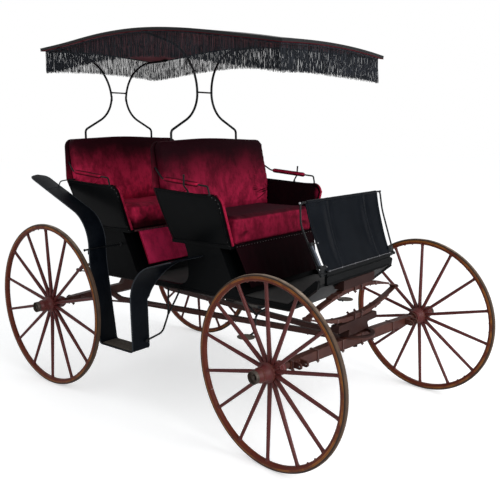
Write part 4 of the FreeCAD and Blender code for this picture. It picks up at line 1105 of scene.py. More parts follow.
def makeCushions(name):
    values = seatValues[name]
    boardTop, front, foot = seatPlace(name)
    seed = values["pitch"] / 500
    folds = []
    for side in (-1, 1):
        for index in range(9):  # fine slanting pleats at the cushion's lower corners
            across = side * (374 - 13.5 * index)
            wander = 6 * noise.noise(Vector((index * 1.7, side, seed)))
            start = at(across, front - 12, boardTop + 4 + wander * 0.5)
            end = at(across - side * (24 + wander), front - 9, boardTop + 62 - 3.4 * index + wander)
            folds.append((start, end, 0.0042, 0.0046 * (1 - index / 12)))
    # painted light and shade: the front seat cushion is lit on its face and shaded back over its top, the rear one
    # shaded low on its face and lit above
    lightRamp = (("Y", at(0, front - 10, 0).y, at(0, front + 110, 0).y, 1.0, 0.05) if name == "front" else
           ("Z", (boardTop + 30) / 1000, (boardTop + 95) / 1000, 0.05, 1.0))
    seatVelvet = makeVelvet(name + "SeatVelvet", values["deep"], values["light"], top=values["top"], lightRamp=lightRamp)
    cushion = stuffed(name + "SeatCushion", name + "_cushion", 16, 0.008, folds, seatVelvet)
    folds = []
    for side in (-1, 1):
        low = at(side * 470, foot - 48, boardTop + 250)
        folds += cornerFolds(low, Vector((-side * 0.92, 0.06, 0.38)), Vector((-side * 0.80, -0.1, -0.6)), 6,
                             0.15, 0.0065, 0.0085, 7.7 + side + seed)
        high = at(side * 462, foot - 30, boardTop + 400)
        folds += cornerFolds(high, Vector((-side * 0.7, 0.1, 0.7)), Vector((-side * 0.9, 0, -0.44)), 4,
                             0.11, 0.007, 0.0050, 2.9 + side + seed)
    # painted shade: the back cushions are drawn darker towards their tops
    lightRamp = ("Z", (boardTop + 200) / 1000, (boardTop + 550) / 1000, 1.0, 0.0)
    backVelvet = makeVelvet(name + "BackVelvet", values["deep"], values["light"], lightRamp=lightRamp)
    back = stuffed(name + "BackCushion", name + "_back_cushion", 8, 0.022, folds, backVelvet)

    def drawn(corner):  # the cover is drawn round the board's edges
        aside = min(max((abs(corner.co.x) - 0.40) / 0.07, 0), 1)
        above = min(max((corner.co.z * 1000 - boardTop - 470) / 60, 0), 1)
        return Vector((math.copysign(0.007 * aside, corner.co.x), 0, 0.007 * above))

    lieOut(back, drawn)


def armOutline(name, inset):  # an arm panel's outline from the side: up its front edge and back along the top
    values = seatValues
    boardTop, front, foot = seatPlace(name)
    points = [Vector((0, front + 6, boardTop)), Vector((0, front - 2, boardTop + values["armFrontHeight"])),
              Vector((0, foot + values["armHeight"] * values["lean"], boardTop + values["armHeight"]))]
    path = bend(points, [60], 90 / 8)
    result = []
    for index, point in enumerate(path):
        heading = (path[min(index + 1, len(path) - 1)] - path[max(index - 1, 0)]).normalized()
        result.append(point + Vector((0, heading.z, -heading.y)) * inset)
    return result


def onArm(point, boardTop, side, depth):
    return at(side * armFace(point.z - boardTop, depth), point.y, point.z)


def makeFrontLitVelvet(name, deep, light):  # painted light: velvet drawn lit where it faces forward and shaded elsewhere
    material, tree, inputs = newVelvet(name, deep, 0.05)
    forward = ranged(tree, facing(tree, "Y"), -0.25, -0.80, 0.0, 1.0, True)
    crush = ranged(tree, objectNoise(tree, 40, 4), 0.3, 0.7, 0.6, 1.0)
    tree.links.new(blend(tree, times(tree, forward, crush), deep, light), inputs["Base Color"])
    addBump(tree, inputs, objectNoise(tree, 160, 3), 0.3, 0.001)
    return material


# painted shade: a near-black copy of the piping velvet, for the front fall's piping
shadedCordVelvet = makeVelvet("velvetCordShaded", (0.0035, 0.0006, 0.0016, 1), (0.012, 0.0007, 0.0026, 1), sheen=0.0)
gimpMaterial = makeVelvet("gimp", (0.05, 0.012, 0.016, 1), (0.13, 0.05, 0.055, 1))
tackWhite = makeMetal("tackWhite", (0.16, 0.15, 0.15, 1), 0.4, 0.6)
pipingRed = makeVelvet("pipingRed", (0.07, 0.002, 0.006, 1), (0.36, 0.012, 0.045, 1), 0.8)
shadedVelvet = makeVelvet("velvetShaded", (0.0026, 0.0003, 0.0010, 1), (0.0085, 0.0004, 0.0018, 1), sheen=0.0)
rollVelvet = makeFrontLitVelvet("velvetRoll", (0.008, 0.0008, 0.0022, 1), (0.34, 0.011, 0.042, 1))
litVelvet = makeVelvet("velvetLit", (0.36, 0.012, 0.050, 1), (0.86, 0.036, 0.145, 1))


def makeArmTrim(name):
    values = seatValues
    boardTop, front, foot = seatPlace(name)
    roll, border, studs = Shell(), Shell(), Shell()
    for side in (-1, 1):
        # velvet roll that wraps the panel's front edge
        outline = armOutline(name, 2)
        path = [onArm(point, boardTop, side, 19) + Vector((0, -0.003, 0.001))
                for point in outline if point.y <= front + 130]
        share = 130 / (outline[-1].y - front)
        path.append(onArm(outline[-2].lerp(outline[-1], share), boardTop, side, 21) - Vector((0, 0, 0.004)))
        section = [(a * (1.25 if a * side > 0 else 1.0), b) for a, b in circle(0.0105, 16)]
        sweep(roll, curve(path, 3), section, up=Vector((-side, 0, 0)),
              scale=lambda share: 1 - 0.45 * max(share - 0.8, 0) / 0.2)
        # raised lines inside the panel's edges, and the moulding at the seat board
        for inset, radius, raised in ((15, 0.0016, 0.6), (3.5, 0.0022, 0.8)):
            rail = armOutline(name, inset)
            line = []
            for spot, following in zip(rail, rail[1:]):
                steps = 10 if (following - spot).length > 100 else 1
                line += [onArm(spot.lerp(following, part / steps), boardTop, side, -raised)
                         for part in range(steps)]
            line.append(onArm(rail[-1], boardTop, side, -raised))
            sweep(border, line, circle(radius, 8))
        line = [onArm(Vector((0, foot + up * values["lean"] - 9, boardTop + up)), boardTop, side, -0.6)
                for up in span(8, values["armHeight"] - 6, 12)]
        sweep(border, line, circle(0.0016, 8))
        line = [onArm(Vector((0, y, boardTop + 3)), boardTop, side, -1.5) for y in span(front + 8, foot + 2, 6)]
        sweep(border, line, circle(0.0035, 10))
        line = [onArm(point, boardTop, side, -0.9) for point in armOutline(name, 7.5) if point.y < front + 60]
        run = 0
        for spot, following in zip(line, line[1:]):
            stretch = (following - spot).length
            while run < stretch:
                tack = spot.lerp(following, run / stretch)
                domed(studs, tack, Vector((side, 0, 0)), *values["armTack"], sides=8)
                run += values["tackSpacing"]
            run -= stretch
    soft = roll.piece(name + "ArmRolls", [rollVelvet])
    border.piece(name + "ArmBorders", [blackPaint])
    studs.piece(name + "ArmTacks", [tackWhite])


def makeLinings(name):
    values = seatValues
    boardTop, front, foot = seatPlace(name)
    rear = foot - 62
    height = values["armFrontHeight"] - 11
    shell = Shell()
    for side in (-1, 1):
        face, back = [], []
        for share in span(0, 1, 16):
            z = boardTop + 2 + height * share
            lead = front + 10 - 8 * share
            drop = boardTop + height - z
            if drop < 56:
                lead += 56 - math.sqrt(max(56 ** 2 - (56 - drop) ** 2, 0))
            tail = rear + (z - boardTop) * values["lean"]
            for along in span(0, 1, 22):
                y = lead + (tail - lead) * along
                lift = (y - front) / (foot - front) * 30 * share
                swell = math.sin(math.pi * share) ** 0.5 * math.sin(math.pi * along) ** 0.5
                puff = 25.3 + 3.2 * swell + 1.2 * noise.noise(Vector((y / 60, z / 50, side)))
                face.append(at(side * armFace(z + lift - boardTop, puff), y, z + lift))
                back.append(at(side * armFace(z + lift - boardTop, 12.5), y, z + lift))
        closedSheet(shell, face, back, 23)
    # painted light: the linings are drawn lit along their front edges and shaded behind
    lit = makeVelvet(name + "LiningVelvet", (0.0035, 0.0006, 0.0016, 1), (0.22, 0.007, 0.034, 1), 1.0, 0.1, 0.0,
                     ("Y", at(0, front + 4, 0).y, at(0, front + 56, 0).y, 1.0, 0.02))
    lining = shell.piece(name + "ArmLinings", [lit], [name + "_arm_linings"], sharp=70)


def makeFall(name):
    values = seatValues
    boardTop, front, _ = seatPlace(name)
    pitch, length = values[name]["pitch"], values[name]["fall"]
    topHalf, footHalf = values[name]["fallHalf"], values["fallFoot"]
    levels, columns = 24, 56
    wide = columns + 1
    face, back = [], []
    for share in span(0, 1, levels):
        half = topHalf + (footHalf - topHalf) * share
        z = boardTop - 2 - length * share
        lead = front - 2 - 70 * share
        for across in span(-1, 1, columns):
            wave = noise.noise(Vector((across * 2.2, share * 0.7, pitch / 300))) * 5 * share
            ripple = noise.noise(Vector((across * 9, share * 1.6, 4 + pitch))) * 2.2 * (0.3 + share)
            sag = 2.5 * math.sin(math.pi * share)
            y = lead - 4.2 - sag + min(max(wave + ripple, -3.5), 3.0)
            face.append(at(across * half, y, z))
            back.append(at(across * half, y + 3, z + 0.6))
    shell, piping = Shell(), Shell()
    closedSheet(shell, face, back, wide)
    for edge, radius in ((face[::wide], 0.0035), (face[columns::wide], 0.0035), (face[levels * wide:], 0.0028)):
        sweep(piping, [point + Vector((0, 0.0015, 0)) for point in edge], circle(radius, 8))
    # the front fall, its piping and gimp take dark copies of the velvet as painted shade; the rear fall takes a
    # lit copy as painted light
    isFront = name == "front"
    fall = shell.piece(name + "SeatFall", [shadedVelvet if isFront else litVelvet], [name + "_fall"], sharp=80)
    cord = piping.piece(name + "FallPiping", [shadedCordVelvet if isFront else pipingRed])
    band, studs = Shell(), Shell()
    line = [at(x, front - 9.5 - 0.6 * math.sin(part * 2.4), boardTop - 7)
            for part, x in enumerate(span(-384, 384, 96))]
    sweep(band, line, circle(0.006, 8, 0.0035 / 0.006), up=toRear)
    band.piece(name + "SeatGimp", [shadedVelvet if isFront else gimpMaterial])
    for x in span(-377, 377, 29):
        domed(studs, at(x, front - 12.5, boardTop - 7), toFront, *values["seatTack"], sides=8)
    studs.piece(name + "SeatTacks", [tackWhite])


def railPoints(name):  # corners of an arm rail, and of the post that holds it
    values = seatValues
    boardTop, front, foot = seatPlace(name)
    railX = values["armFoot"] + 102 - values["panelThick"] / 2
    rearY = foot + values["armHeight"] * values["lean"]
    edgeRise = (values["armHeight"] - values["armFrontHeight"]) / (rearY - front + 2)

    def onPanel(along, x=0, y=0, z=0):
        return Vector((railX + x, front + along + y,
                       boardTop + values["armFrontHeight"] + (along + 2) * edgeRise + 0.6 + z))

    endRise = values["armHeight"] + 116
    end = Vector((490, foot + endRise * values["lean"] - 4.3, boardTop + endRise))
    points = [onPanel(68, z=-3), onPanel(68, z=14), onPanel(77, 3, 0, 50), onPanel(435, 3, 0, 60), end]
    post = [onPanel(231, z=-3), onPanel(231, z=9), onPanel(231, 31, 0, 40), onPanel(231, 34, -4, 98)]
    return points, post


def makeRails(name):
    values = seatValues
    points, post = railPoints(name)
    radius, length = values["railRadius"], values["padLength"]
    collar = [(0.0002, 0), (0.009, 0), (0.0085, 0.003), (0.0055, 0.006)]
    knob = [(0.0052, -0.001), (0.0062, 0.001), (0.0056, 0.004), (0.0002, 0.0058)]
    iron, pads = Shell(), Shell()
    for side in (-1, 1):
        def onSide(point):
            return at(point.x * side, point.y, point.z)

        rods = [(points, [0.020, 0.014, 0.040])] + ([(post, [0.008, 0.020])] if name == "front" else [])
        for line, radii in rods:
            rod(iron, [onSide(point) for point in line], radii, radius)
            lathe(iron, collar, 12, Matrix.Translation(onSide(line[0]) + Vector((0, 0, 0.0032))))
        if name == "front":
            lathe(iron, knob, 10, Matrix.Translation(onSide(post[-1])))
        run = (points[3] - points[2]).normalized()
        first = points[2] + run * 70
        path, sizes = [], []
        for share in span(0, 1, 36):  # the pad's ends are rounded over their last 16 millimetres
            end = min(share, 1 - share) * length
            size = math.sqrt(max(1 - (1 - min(end / 16, 1)) ** 2, 0))
            path.append(onSide(first + run * (length * share)))
            sizes.append(max(size, 0.38) * (1 + 0.05 * noise.noise(
                Vector((share * 9, side, values[name]["pitch"] / 400)))))
        sweep(pads, path, circle(values["padRadius"], 16, 0.92), up=toSky,
              scale=lambda share, sizes=sizes: sizes[round(share * 36)])
    iron.piece(name + "ArmRailRods", [ironPaint], [name + "_arm_rails"])
    soft = pads.piece(name + "ArmPads", [velvet], [name + "_arm_pads"], sharp=80)


for seatName in ("front", "rear"):
    makeCushions(seatName)
    makeLinings(seatName)
    makeArmTrim(seatName)
    makeFall(seatName)
    makeRails(seatName)
    print(seatName, "seat ready")


# body trim and dash

bodyValues = {
    "underside": 703.9,
    "half": 400,
    "end": 1848,
    "matHalf": 372,
    "dashHalf": 340,
    "dashTopHalf": 373,
    "dashFoot": 853.9,
    "dashFace": -37.3,
    "leatherFoot": (-32.3, 931.9),
    "leatherMiddle": (38.7, 1103.4),
    "leatherTop": (73.7, 1274.9),
    "folds": (-196, 192),
    "foldHeight": 12,
    "rodRadius": 0.0052,
}

rubbedEdge = makePaint("rubbedEdge", (0.006, 0.0045, 0.0042, 1), (0.018, 0.009, 0.007, 1), (0.06, 0.03, 0.02, 1),
                       0.45, 0.6, 0.4, 0.03, 0.02, 0.001, 0.15)
matRubber = makeMetal("matRubber", colors["mat"], 0.8, 0.0, 0.12, 0.3, (0.03, 0.03, 0.03, 1))
brightSteel = makeMetal("brightSteel", (0.050, 0.056, 0.068, 1), 0.28, 0.9, 0.0)
nickel = makeMetal("nickel", (0.34, 0.34, 0.35, 1), 0.3, 0.9, 0.0)
greyMetal = makeMetal("greyMetal", (0.22, 0.22, 0.24, 1), 0.35, 0.8, 0.05, 0.3)


def makeBodyTrim():
    values = bodyValues
    bottom, end = values["underside"], values["end"]
    edge, bead = Shell(), Shell()
    for side in (-1, 1):
        x = side * (values["half"] - 1)
        outward = Vector((side, 0, 0))
        # the rubbed lower edge, and the mouldings above the sill and down the rear corner
        path = bend([at(x, -15, bottom + 137), at(x, 150, bottom + 1), at(x, end - 2, bottom + 1)], [0.060], 6)
        sweep(edge, path, circle(0.0042, 8), up=outward)
        path = bend([at(x, 22, bottom + 132), at(x, 164, bottom + 17), at(x, end - 4, bottom + 17)], [0.060], 6)
        sweep(bead, path, circle(0.0030, 8), up=outward)
        path = [at(x, end - 3, bottom + 20), at(x, end - 3, bottom + 306)]
        sweep(bead, path, circle(0.0030, 8), up=outward)
        for y in range(240, 1800, 130):
            domed(bead, at(side * values["half"], y, bottom + 9), outward, 0.0042, 0.0025)
    for across in range(-360, 361, 90):
        domed(bead, at(across, end + 0.1, bottom + 12), toRear, 0.0042, 0.0025)
    panel = [at(x, end + 0.6, bottom + z) for x, z in ((-352, 28), (352, 28), (352, 288), (-352, 288))]
    sweep(bead, panel, circle(0.0032, 8), up=toRear, closed=True)
    edge.piece("bodyLowerEdges", [rubbedEdge])
    bead.piece("bodyMouldings", [blackPaint])


def makeMat(name, start, end):  # ribbed rubber laid on the floor
    half = bodyValues["matHalf"]
    top = bodyValues["underside"] + 18
    shell = Shell()
    section = [(start, top + 0.4)]
    for part, y in enumerate(span(start, end, int((end - start) / 7))):
        section.append((y, top + (3.4 if part % 2 else 5.0)))
    section.append((end, top + 0.4))
    corners = [at(x, y, z) for x in (-half, half) for y, z in section]
    wide = len(section)
    faces = [(k, k + 1, wide + k + 1, wide + k) for k in range(wide - 1)] + [(wide - 1, 0, wide, 2 * wide - 1)]
    faces += [tuple(range(wide - 1, -1, -1)), tuple(range(wide, 2 * wide))]
    shell.add(corners, faces)
    mat = shell.piece(name, [matRubber], sharp=70)


def leatherAt(across, share, offset):
    # point of the dash leather: -1 to 1 across, 0 to 1 up, offset forward in millimetres
    values = bodyValues
    low, high = values["leatherFoot"], values["leatherTop"]
    centreY, centreZ, radius = circleThrough(low, values["leatherMiddle"], high)
    z = low[1] + (high[1] - low[1]) * share
    y = centreY + math.copysign(math.sqrt(radius ** 2 - (z - centreZ) ** 2), low[0] - centreY)
    x = across * (values["dashHalf"] + (values["dashTopHalf"] - values["dashHalf"]) * share)
    rounding = math.sin(math.pi * min(max(share, 0.06), 0.97)) ** 0.5
    lift = 0
    for fold in values["folds"]:
        away = (x - fold * (1 - 0.02 * share)) / 1000
        shape = math.exp(-(away / 0.024) ** 2) - 0.62 * math.exp(-((away - 0.034) / 0.020) ** 2)
        lift += shape * values["foldHeight"] * (0.35 + 0.65 * rounding)
    curl = max(abs(across) - 0.90, 0) / 0.10
    lift += 7 * curl * curl * math.sin(math.pi * min(max(share, 0.03), 0.97))
    lift += 2.5 * noise.noise(Vector((across * 3, share * 2.5, 7.3)))
    return at(x, y - lift - offset, z)


def makeDash():
    values = bodyValues
    shell = Shell()
    front = [leatherAt(across, share, 1.2) for share in span(0, 1, 40) for across in span(-1, 1, 88)]
    closedSheet(shell, front, [corner + Vector((0, 0.0032, 0)) for corner in front], 89)
    skin = shell.piece("dashLeather", [leather], ["dash_leather"], sharp=75)

    hem = Shell()
    for side in (-1, 1):
        sweep(hem, [leatherAt(side * 0.998, share, -0.4) for share in span(0, 1, 40)], circle(0.0030, 8))
        sweep(hem, [leatherAt(side * 0.955, share, 1.6) for share in span(0, 1, 40)[1:-1]], circle(0.0009, 6))
    sweep(hem, [leatherAt(across, 0.955, 1.6) for across in span(-0.97, 0.97, 60)], circle(0.0009, 6))
    y, z = values["leatherTop"]
    roll = [at(x, y + 2.2, z + 5.2 + 0.8 * noise.noise(Vector((part * 0.6, 1, 2))))
            for part, x in enumerate(span(-362, 362, 40))]
    sweep(hem, roll, circle(0.0088, 14))
    seams = hem.piece("dashLeatherHems", [leather])

    strip = Shell()
    y, z = values["leatherFoot"]
    line = [at(x, y - 8.5, z - 0.5) for x in (-337, 337)]
    sweep(strip, line, roundedBox(0.0024, 0.0075, 0.001), up=toRear)
    for across in (-322, -200, -68, 68, 200, 322):
        addBox(strip, at(across - 3, y - 11.0, z - 5), at(across + 3, y - 8, z + 4), 0.0008)
        domed(strip, at(across, y - 10.9, z - 0.5), toFront, 0.0022, 0.0014)
    strip.piece("dashLeatherStrip", [greyMetal])

    board = Shell()
    half = values["dashHalf"] - 1
    for up, radius in ((47, 0.0030), (5, 0.0034), (74, 0.0026)):
        line = [at(x, values["dashFace"], values["dashFoot"] + up) for x in (-half, half)]
        sweep(board, line, circle(radius, 8, 1.6), up=toRear)
    board.piece("dashBoardBeads", [blackPaint])


def makeDashIrons():
    foot, top = bodyValues["leatherFoot"], bodyValues["leatherTop"]
    radius = bodyValues["rodRadius"]
    z = foot[1]
    side = [Vector((-340.3, foot[0] + 2, z - 12)), Vector((-392, foot[0] + 2, z - 12)),
            Vector((-426, top[0] - 8, z + 240.1)), Vector((-415, top[0] + 2, top[1] + 5.3))]
    points = side + [Vector((-point.x, point.y, point.z)) for point in reversed(side)]
    iron = Shell()
    rod(iron, [at(*point) for point in points], [0.008, 0.160, 0.020, 0.020, 0.160, 0.008], radius)
    for sign in (-1, 1):
        domed(iron, at(sign * 418, side[3].y, side[3].z), Vector((sign, 0, 0)), 0.0062, 0.005, 1, 14)
        corner = at(sign * 392, side[1].y - 1, side[1].z)
        domed(iron, corner, toFront, 0.0095, 0.011, sides=14)
        domed(iron, corner, toRear, 0.0095, 0.008, sides=14)
        near, far = sorted((sign * 334, sign * 388))
        addBox(iron, at(near, side[1].y + 1, side[1].z - 14), at(far, side[1].y + 6, side[1].z + 44), 0.0015)
    iron.piece("dashIronRods", [ironPaint, nickel], ["dash_irons"])

    # whip socket: bright tube in dark collars, clipped to the leather's edge
    run = side[2] - side[1]
    up = Vector((0, run.y, run.z)).normalized()
    crossing = side[1] + run * (100 / run.length) - up.cross(Vector((1, 0, 0))) * 15.71
    heading = (up - Vector((1, 0, 0)) * math.tan(math.radians(9))).normalized()
    base = crossing - heading * 70
    matrix = seated(at(*base), heading)
    tube = Shell()
    lathe(tube, [(0.0080, 0.1385), (0.0095, 0.1385), (0.0095, 0.014), (0.0080, 0.014)], 24, matrix, closed=True)
    cup = [(0.0002, 0.0), (0.0098, 0.0), (0.0112, 0.002), (0.0112, 0.014), (0.0098, 0.016), (0.0080, 0.016),
           (0.0078, 0.009), (0.0002, 0.009)]
    collar = [(0.0080, 0.124), (0.0098, 0.124), (0.0112, 0.126), (0.0112, 0.138), (0.0098, 0.140), (0.0080, 0.140)]
    lathe(tube, cup, 24, matrix, 1)
    lathe(tube, collar, 24, matrix, 1, True)
    for height, share in ((134, 0.41), (14, 0.06)):  # clips from the collars to the leather's edge
        start = at(*(base + heading * height)) + Vector((0.006, 0, 0))
        end = leatherAt(-0.985, share, 3)
        middle = start.lerp(end, 0.5) + Vector((0, -0.004, 0.002))
        sweep(tube, curve([start, middle, end], 5), roundedBox(0.004, 0.013, 0.001), up=toRear, shade=1)
        domed(tube, end + Vector((0.006, -0.002, 0)), toFront, 0.0045, 0.003, 2)
    tube.piece("whipSocketTube", [brightSteel, ironPaint, nickel], ["whip_socket"])


makeBodyTrim()
makeMat("frontFloorMat", 196, 512)
makeMat("rearFloorMat", 1012, 1372)
makeDash()
makeDashIrons()
print("body and dash ready")


# canopy

canopyValues = {
    "half": 514,
    "front": 111,
    "rear": 2157,
    "thick": 20,
    "crown": 22,
    "arch": ((111, 2087.9), (374.9, 2138.9), (804.6, 2215.9), (1158.6, 2254.9), (1502.3, 2260.9),
             (1923.8, 2237.9), (2157, 2228.9)),
    "bows": (111, 500, 890, 1300, 1720, 2157),
    "slack": 3.2,
    "stud": (0.0024, 0.0013),
    "railSection": (0.0085, 0.0168, 0.003),
    "fringeInset": 25,
    "threadTop": 21.5,
    "braidTop": 26.0,
    "fringeDrop": 0.150,
    "fringeLayers": 2,
    "threadSpacing": 0.0027,
    "threadRadius": 0.00084,
    "coverColors": ((0.005, 0.0055, 0.0062, 1), (0.0045, 0.0050, 0.0058, 1)),
    "ceilingColors": ((0.085, 0.0058, 0.0150, 1), (0.105, 0.010, 0.018, 1)),
    "threadColors": ((0.0075, 0.0095, 0.0135, 1), (0.034, 0.038, 0.047, 1)),
    "laceColor": (0.085, 0.003, 0.009, 1),
    "irons": {"rod": 0.0075, "brace": 0.0052, "shoulder": 304, "upright": 66, "bends": [0.032, 0.195, 0.300]},
}


def archAt(y):  # height of the roof's side edge: smooth curve through its points
    points = canopyValues["arch"]
    for index in range(len(points) - 1):
        if y <= points[index + 1][0]:
            break
    (y0, z0), (y1, z1) = points[index], points[index + 1]
    before = points[index - 1] if index else (2 * y0 - y1, 2 * z0 - z1)
    after = points[index + 2] if index + 2 < len(points) else (2 * y1 - y0, 2 * z1 - z0)
    reach = y1 - y0
    slope0 = (z1 - before[1]) / (y1 - before[0]) * reach
    slope1 = (after[1] - z0) / (after[0] - y0) * reach
    t = (y - y0) / reach
    return ((2 * t ** 3 - 3 * t ** 2 + 1) * z0 + (t ** 3 - 2 * t ** 2 + t) * slope0
            + (3 * t ** 2 - 2 * t ** 3) * z1 + (t ** 3 - t ** 2) * slope1)


def roofAt(x, y, drop):
    values = canopyValues
    return at(x, y, archAt(y) + values["crown"] * (1 - (x / values["half"]) ** 2) - drop)


def slack(x, y):  # the cloth sinks a little between the bows
    bows = canopyValues["bows"]
    for low, high in zip(bows, bows[1:]):
        if low <= y <= high:
            share = (y - low) / (high - low)
            return canopyValues["slack"] * math.sin(math.pi * share) ** 2 * (1 - (x / canopyValues["half"]) ** 4)
    return 0


def canopyMaterials():
    values = canopyValues
    base, tone = values["coverColors"]
    cover, tree, inputs = newMaterial("canopyCover", base, 0.5, Coat_Weight=0.04, Coat_Roughness=0.35,
                                      Specular_IOR_Level=0.25)
    grain = useGroup(tree, "leatherGrain", Color=tone, Scuffs=0.4)
    dusted(tree, inputs, grain["Color"], grain["Roughness"], 0.06)
    addBump(tree, inputs, grain["Height"], 0.15, 0.0006)
    base, tone = values["ceilingColors"]
    ceiling, tree, inputs = newMaterial("canopyCeiling", base, 0.9, Sheen_Weight=0.08, Sheen_Roughness=0.4,
                                        Sheen_Tint=(1, 0.35, 0.4, 1))
    patch = ranged(tree, objectNoise(tree, 4, 5), 0.35, 0.65)
    tree.links.new(blend(tree, patch, base, tone), inputs["Base Color"])
    addBump(tree, inputs, objectNoise(tree, 900, 2), 0.3, 0.0006)
    base, tone = values["threadColors"]
    thread, tree, inputs = newMaterial("fringeThread", base, 0.85, Sheen_Weight=0.05, Sheen_Roughness=0.5,
                                       Specular_IOR_Level=0.15)
    strand = objectNoise(tree, 160, 2, (1, 1, 0.04), 0.5)
    tree.links.new(blend(tree, ranged(tree, strand, 0.40, 0.66), base, tone), inputs["Base Color"])
    return cover, ceiling, thread


canopyCover, canopyCeiling, fringeThread = canopyMaterials()
redLace = makeVelvet("redLace", (0.045, 0.002, 0.005, 1), canopyValues["laceColor"], 0.7)


def threadItem():  # one hanging thread, waved along its length
    radius = canopyValues["threadRadius"]
    rows = []
    for level, share in enumerate(span(0, 1, 5)):
        sway = 0.0016 * math.sin(4.2 * share + 0.6)
        bow = 0.0010 * math.sin(6.5 * share)
        size = radius * (1.0 if level else 0.8) * (1.25 if level == 5 else 1)
        rows += [(sway + x, bow + y, -canopyValues["fringeDrop"] * share) for x, y in circle(size, 3)]
    mesh = bpy.data.meshes.new("thread")
    mesh.from_pydata(rows, [], ringFaces(6, 3))
    mesh.shade_smooth()
    return bpy.data.objects.new("thread", mesh)


def makeFringeGroup():  # copies of a thread along a line, each with its own length, turn and lean
    group = bpy.data.node_groups.new("hangingFringe", "GeometryNodeTree")
    face = group.interface
    for name, kind, value in (("Line", "Geometry", None), ("Thread", "Object", None), ("Spacing", "Float", 0.003),
                              ("Shortest", "Float", 0.90), ("Lean", "Float", 0.02), ("Seed", "Int", 4),
                              ("Material", "Material", None)):
        socket = face.new_socket(name, in_out="INPUT", socket_type="NodeSocket" + kind)
        if value is not None:
            socket.default_value = value
    face.new_socket("Fringe", in_out="OUTPUT", socket_type="NodeSocketGeometry")
    given = group.nodes.new("NodeGroupInput").outputs
    points = addNode(group, "GeometryNodeCurveToPoints", {"Curve": given["Line"], "Length": given["Spacing"]},
                     mode="LENGTH")
    item = addNode(group, "GeometryNodeObjectInfo", {"Object": given["Thread"]}, transform_space="ORIGINAL")

    def chance(low, high, shift):
        seed = number(group, "ADD", given["Seed"], shift)
        draw = addNode(group, "FunctionNodeRandomValue", {2: low, 3: high, "Seed": seed}, data_type="FLOAT")
        return draw.outputs[1]

    less, more = times(group, given["Lean"], -1), given["Lean"]
    turn = addNode(group, "ShaderNodeCombineXYZ", {0: chance(less, more, 1), 1: chance(less, more, 2),
                                                   2: chance(0, 6.283, 3)}).outputs[0]
    length = chance(given["Shortest"], 1.0, 4)
    size = addNode(group, "ShaderNodeCombineXYZ", {0: 1.0, 1: 1.0, 2: length}).outputs[0]
    copies = addNode(group, "GeometryNodeInstanceOnPoints", {
        "Points": points.outputs["Points"], "Instance": item.outputs["Geometry"], "Rotation": turn, "Scale": size})
    real = addNode(group, "GeometryNodeRealizeInstances", {0: copies.outputs[0]})
    done = addNode(group, "GeometryNodeSetMaterial", {0: real.outputs[0], "Material": given["Material"]})
    feed(group, group.nodes.new("NodeGroupOutput"), {0: done.outputs[0]})
    return group


def makeFringe(name, lines):
    group = makeFringeGroup()
    thread = threadItem()
    work = bmesh.new()
    for layer in range(canopyValues["fringeLayers"]):
        data = bpy.data.curves.new(name, "CURVE")
        data.dimensions = "3D"
        for line in lines(layer, canopyValues["threadTop"]):
            spline = data.splines.new("POLY")
            spline.points.add(len(line) - 1)
            for point, corner in zip(spline.points, line):
                point.co = (*corner, 1)
        guide = addObject(name, data)
        modifier = guide.modifiers.new("fringe", "NODES")
        modifier.node_group = group
        values = {"Thread": thread, "Spacing": canopyValues["threadSpacing"], "Seed": 11 + 7 * layer,
                  "Material": fringeThread}
        for socket in group.interface.items_tree:
            if socket.name in values:
                modifier[socket.identifier] = values[socket.name]
        mesh = evaluated(guide)
        work.from_mesh(mesh)
        bpy.data.meshes.remove(mesh)
        bpy.data.objects.remove(guide)
    bpy.data.objects.remove(thread)
    mesh = bpy.data.meshes.new(name)
    work.to_mesh(mesh)
    work.free()
    mesh.shade_smooth()
    return placePiece(name, mesh, [fringeThread], ["canopy_fringe"])


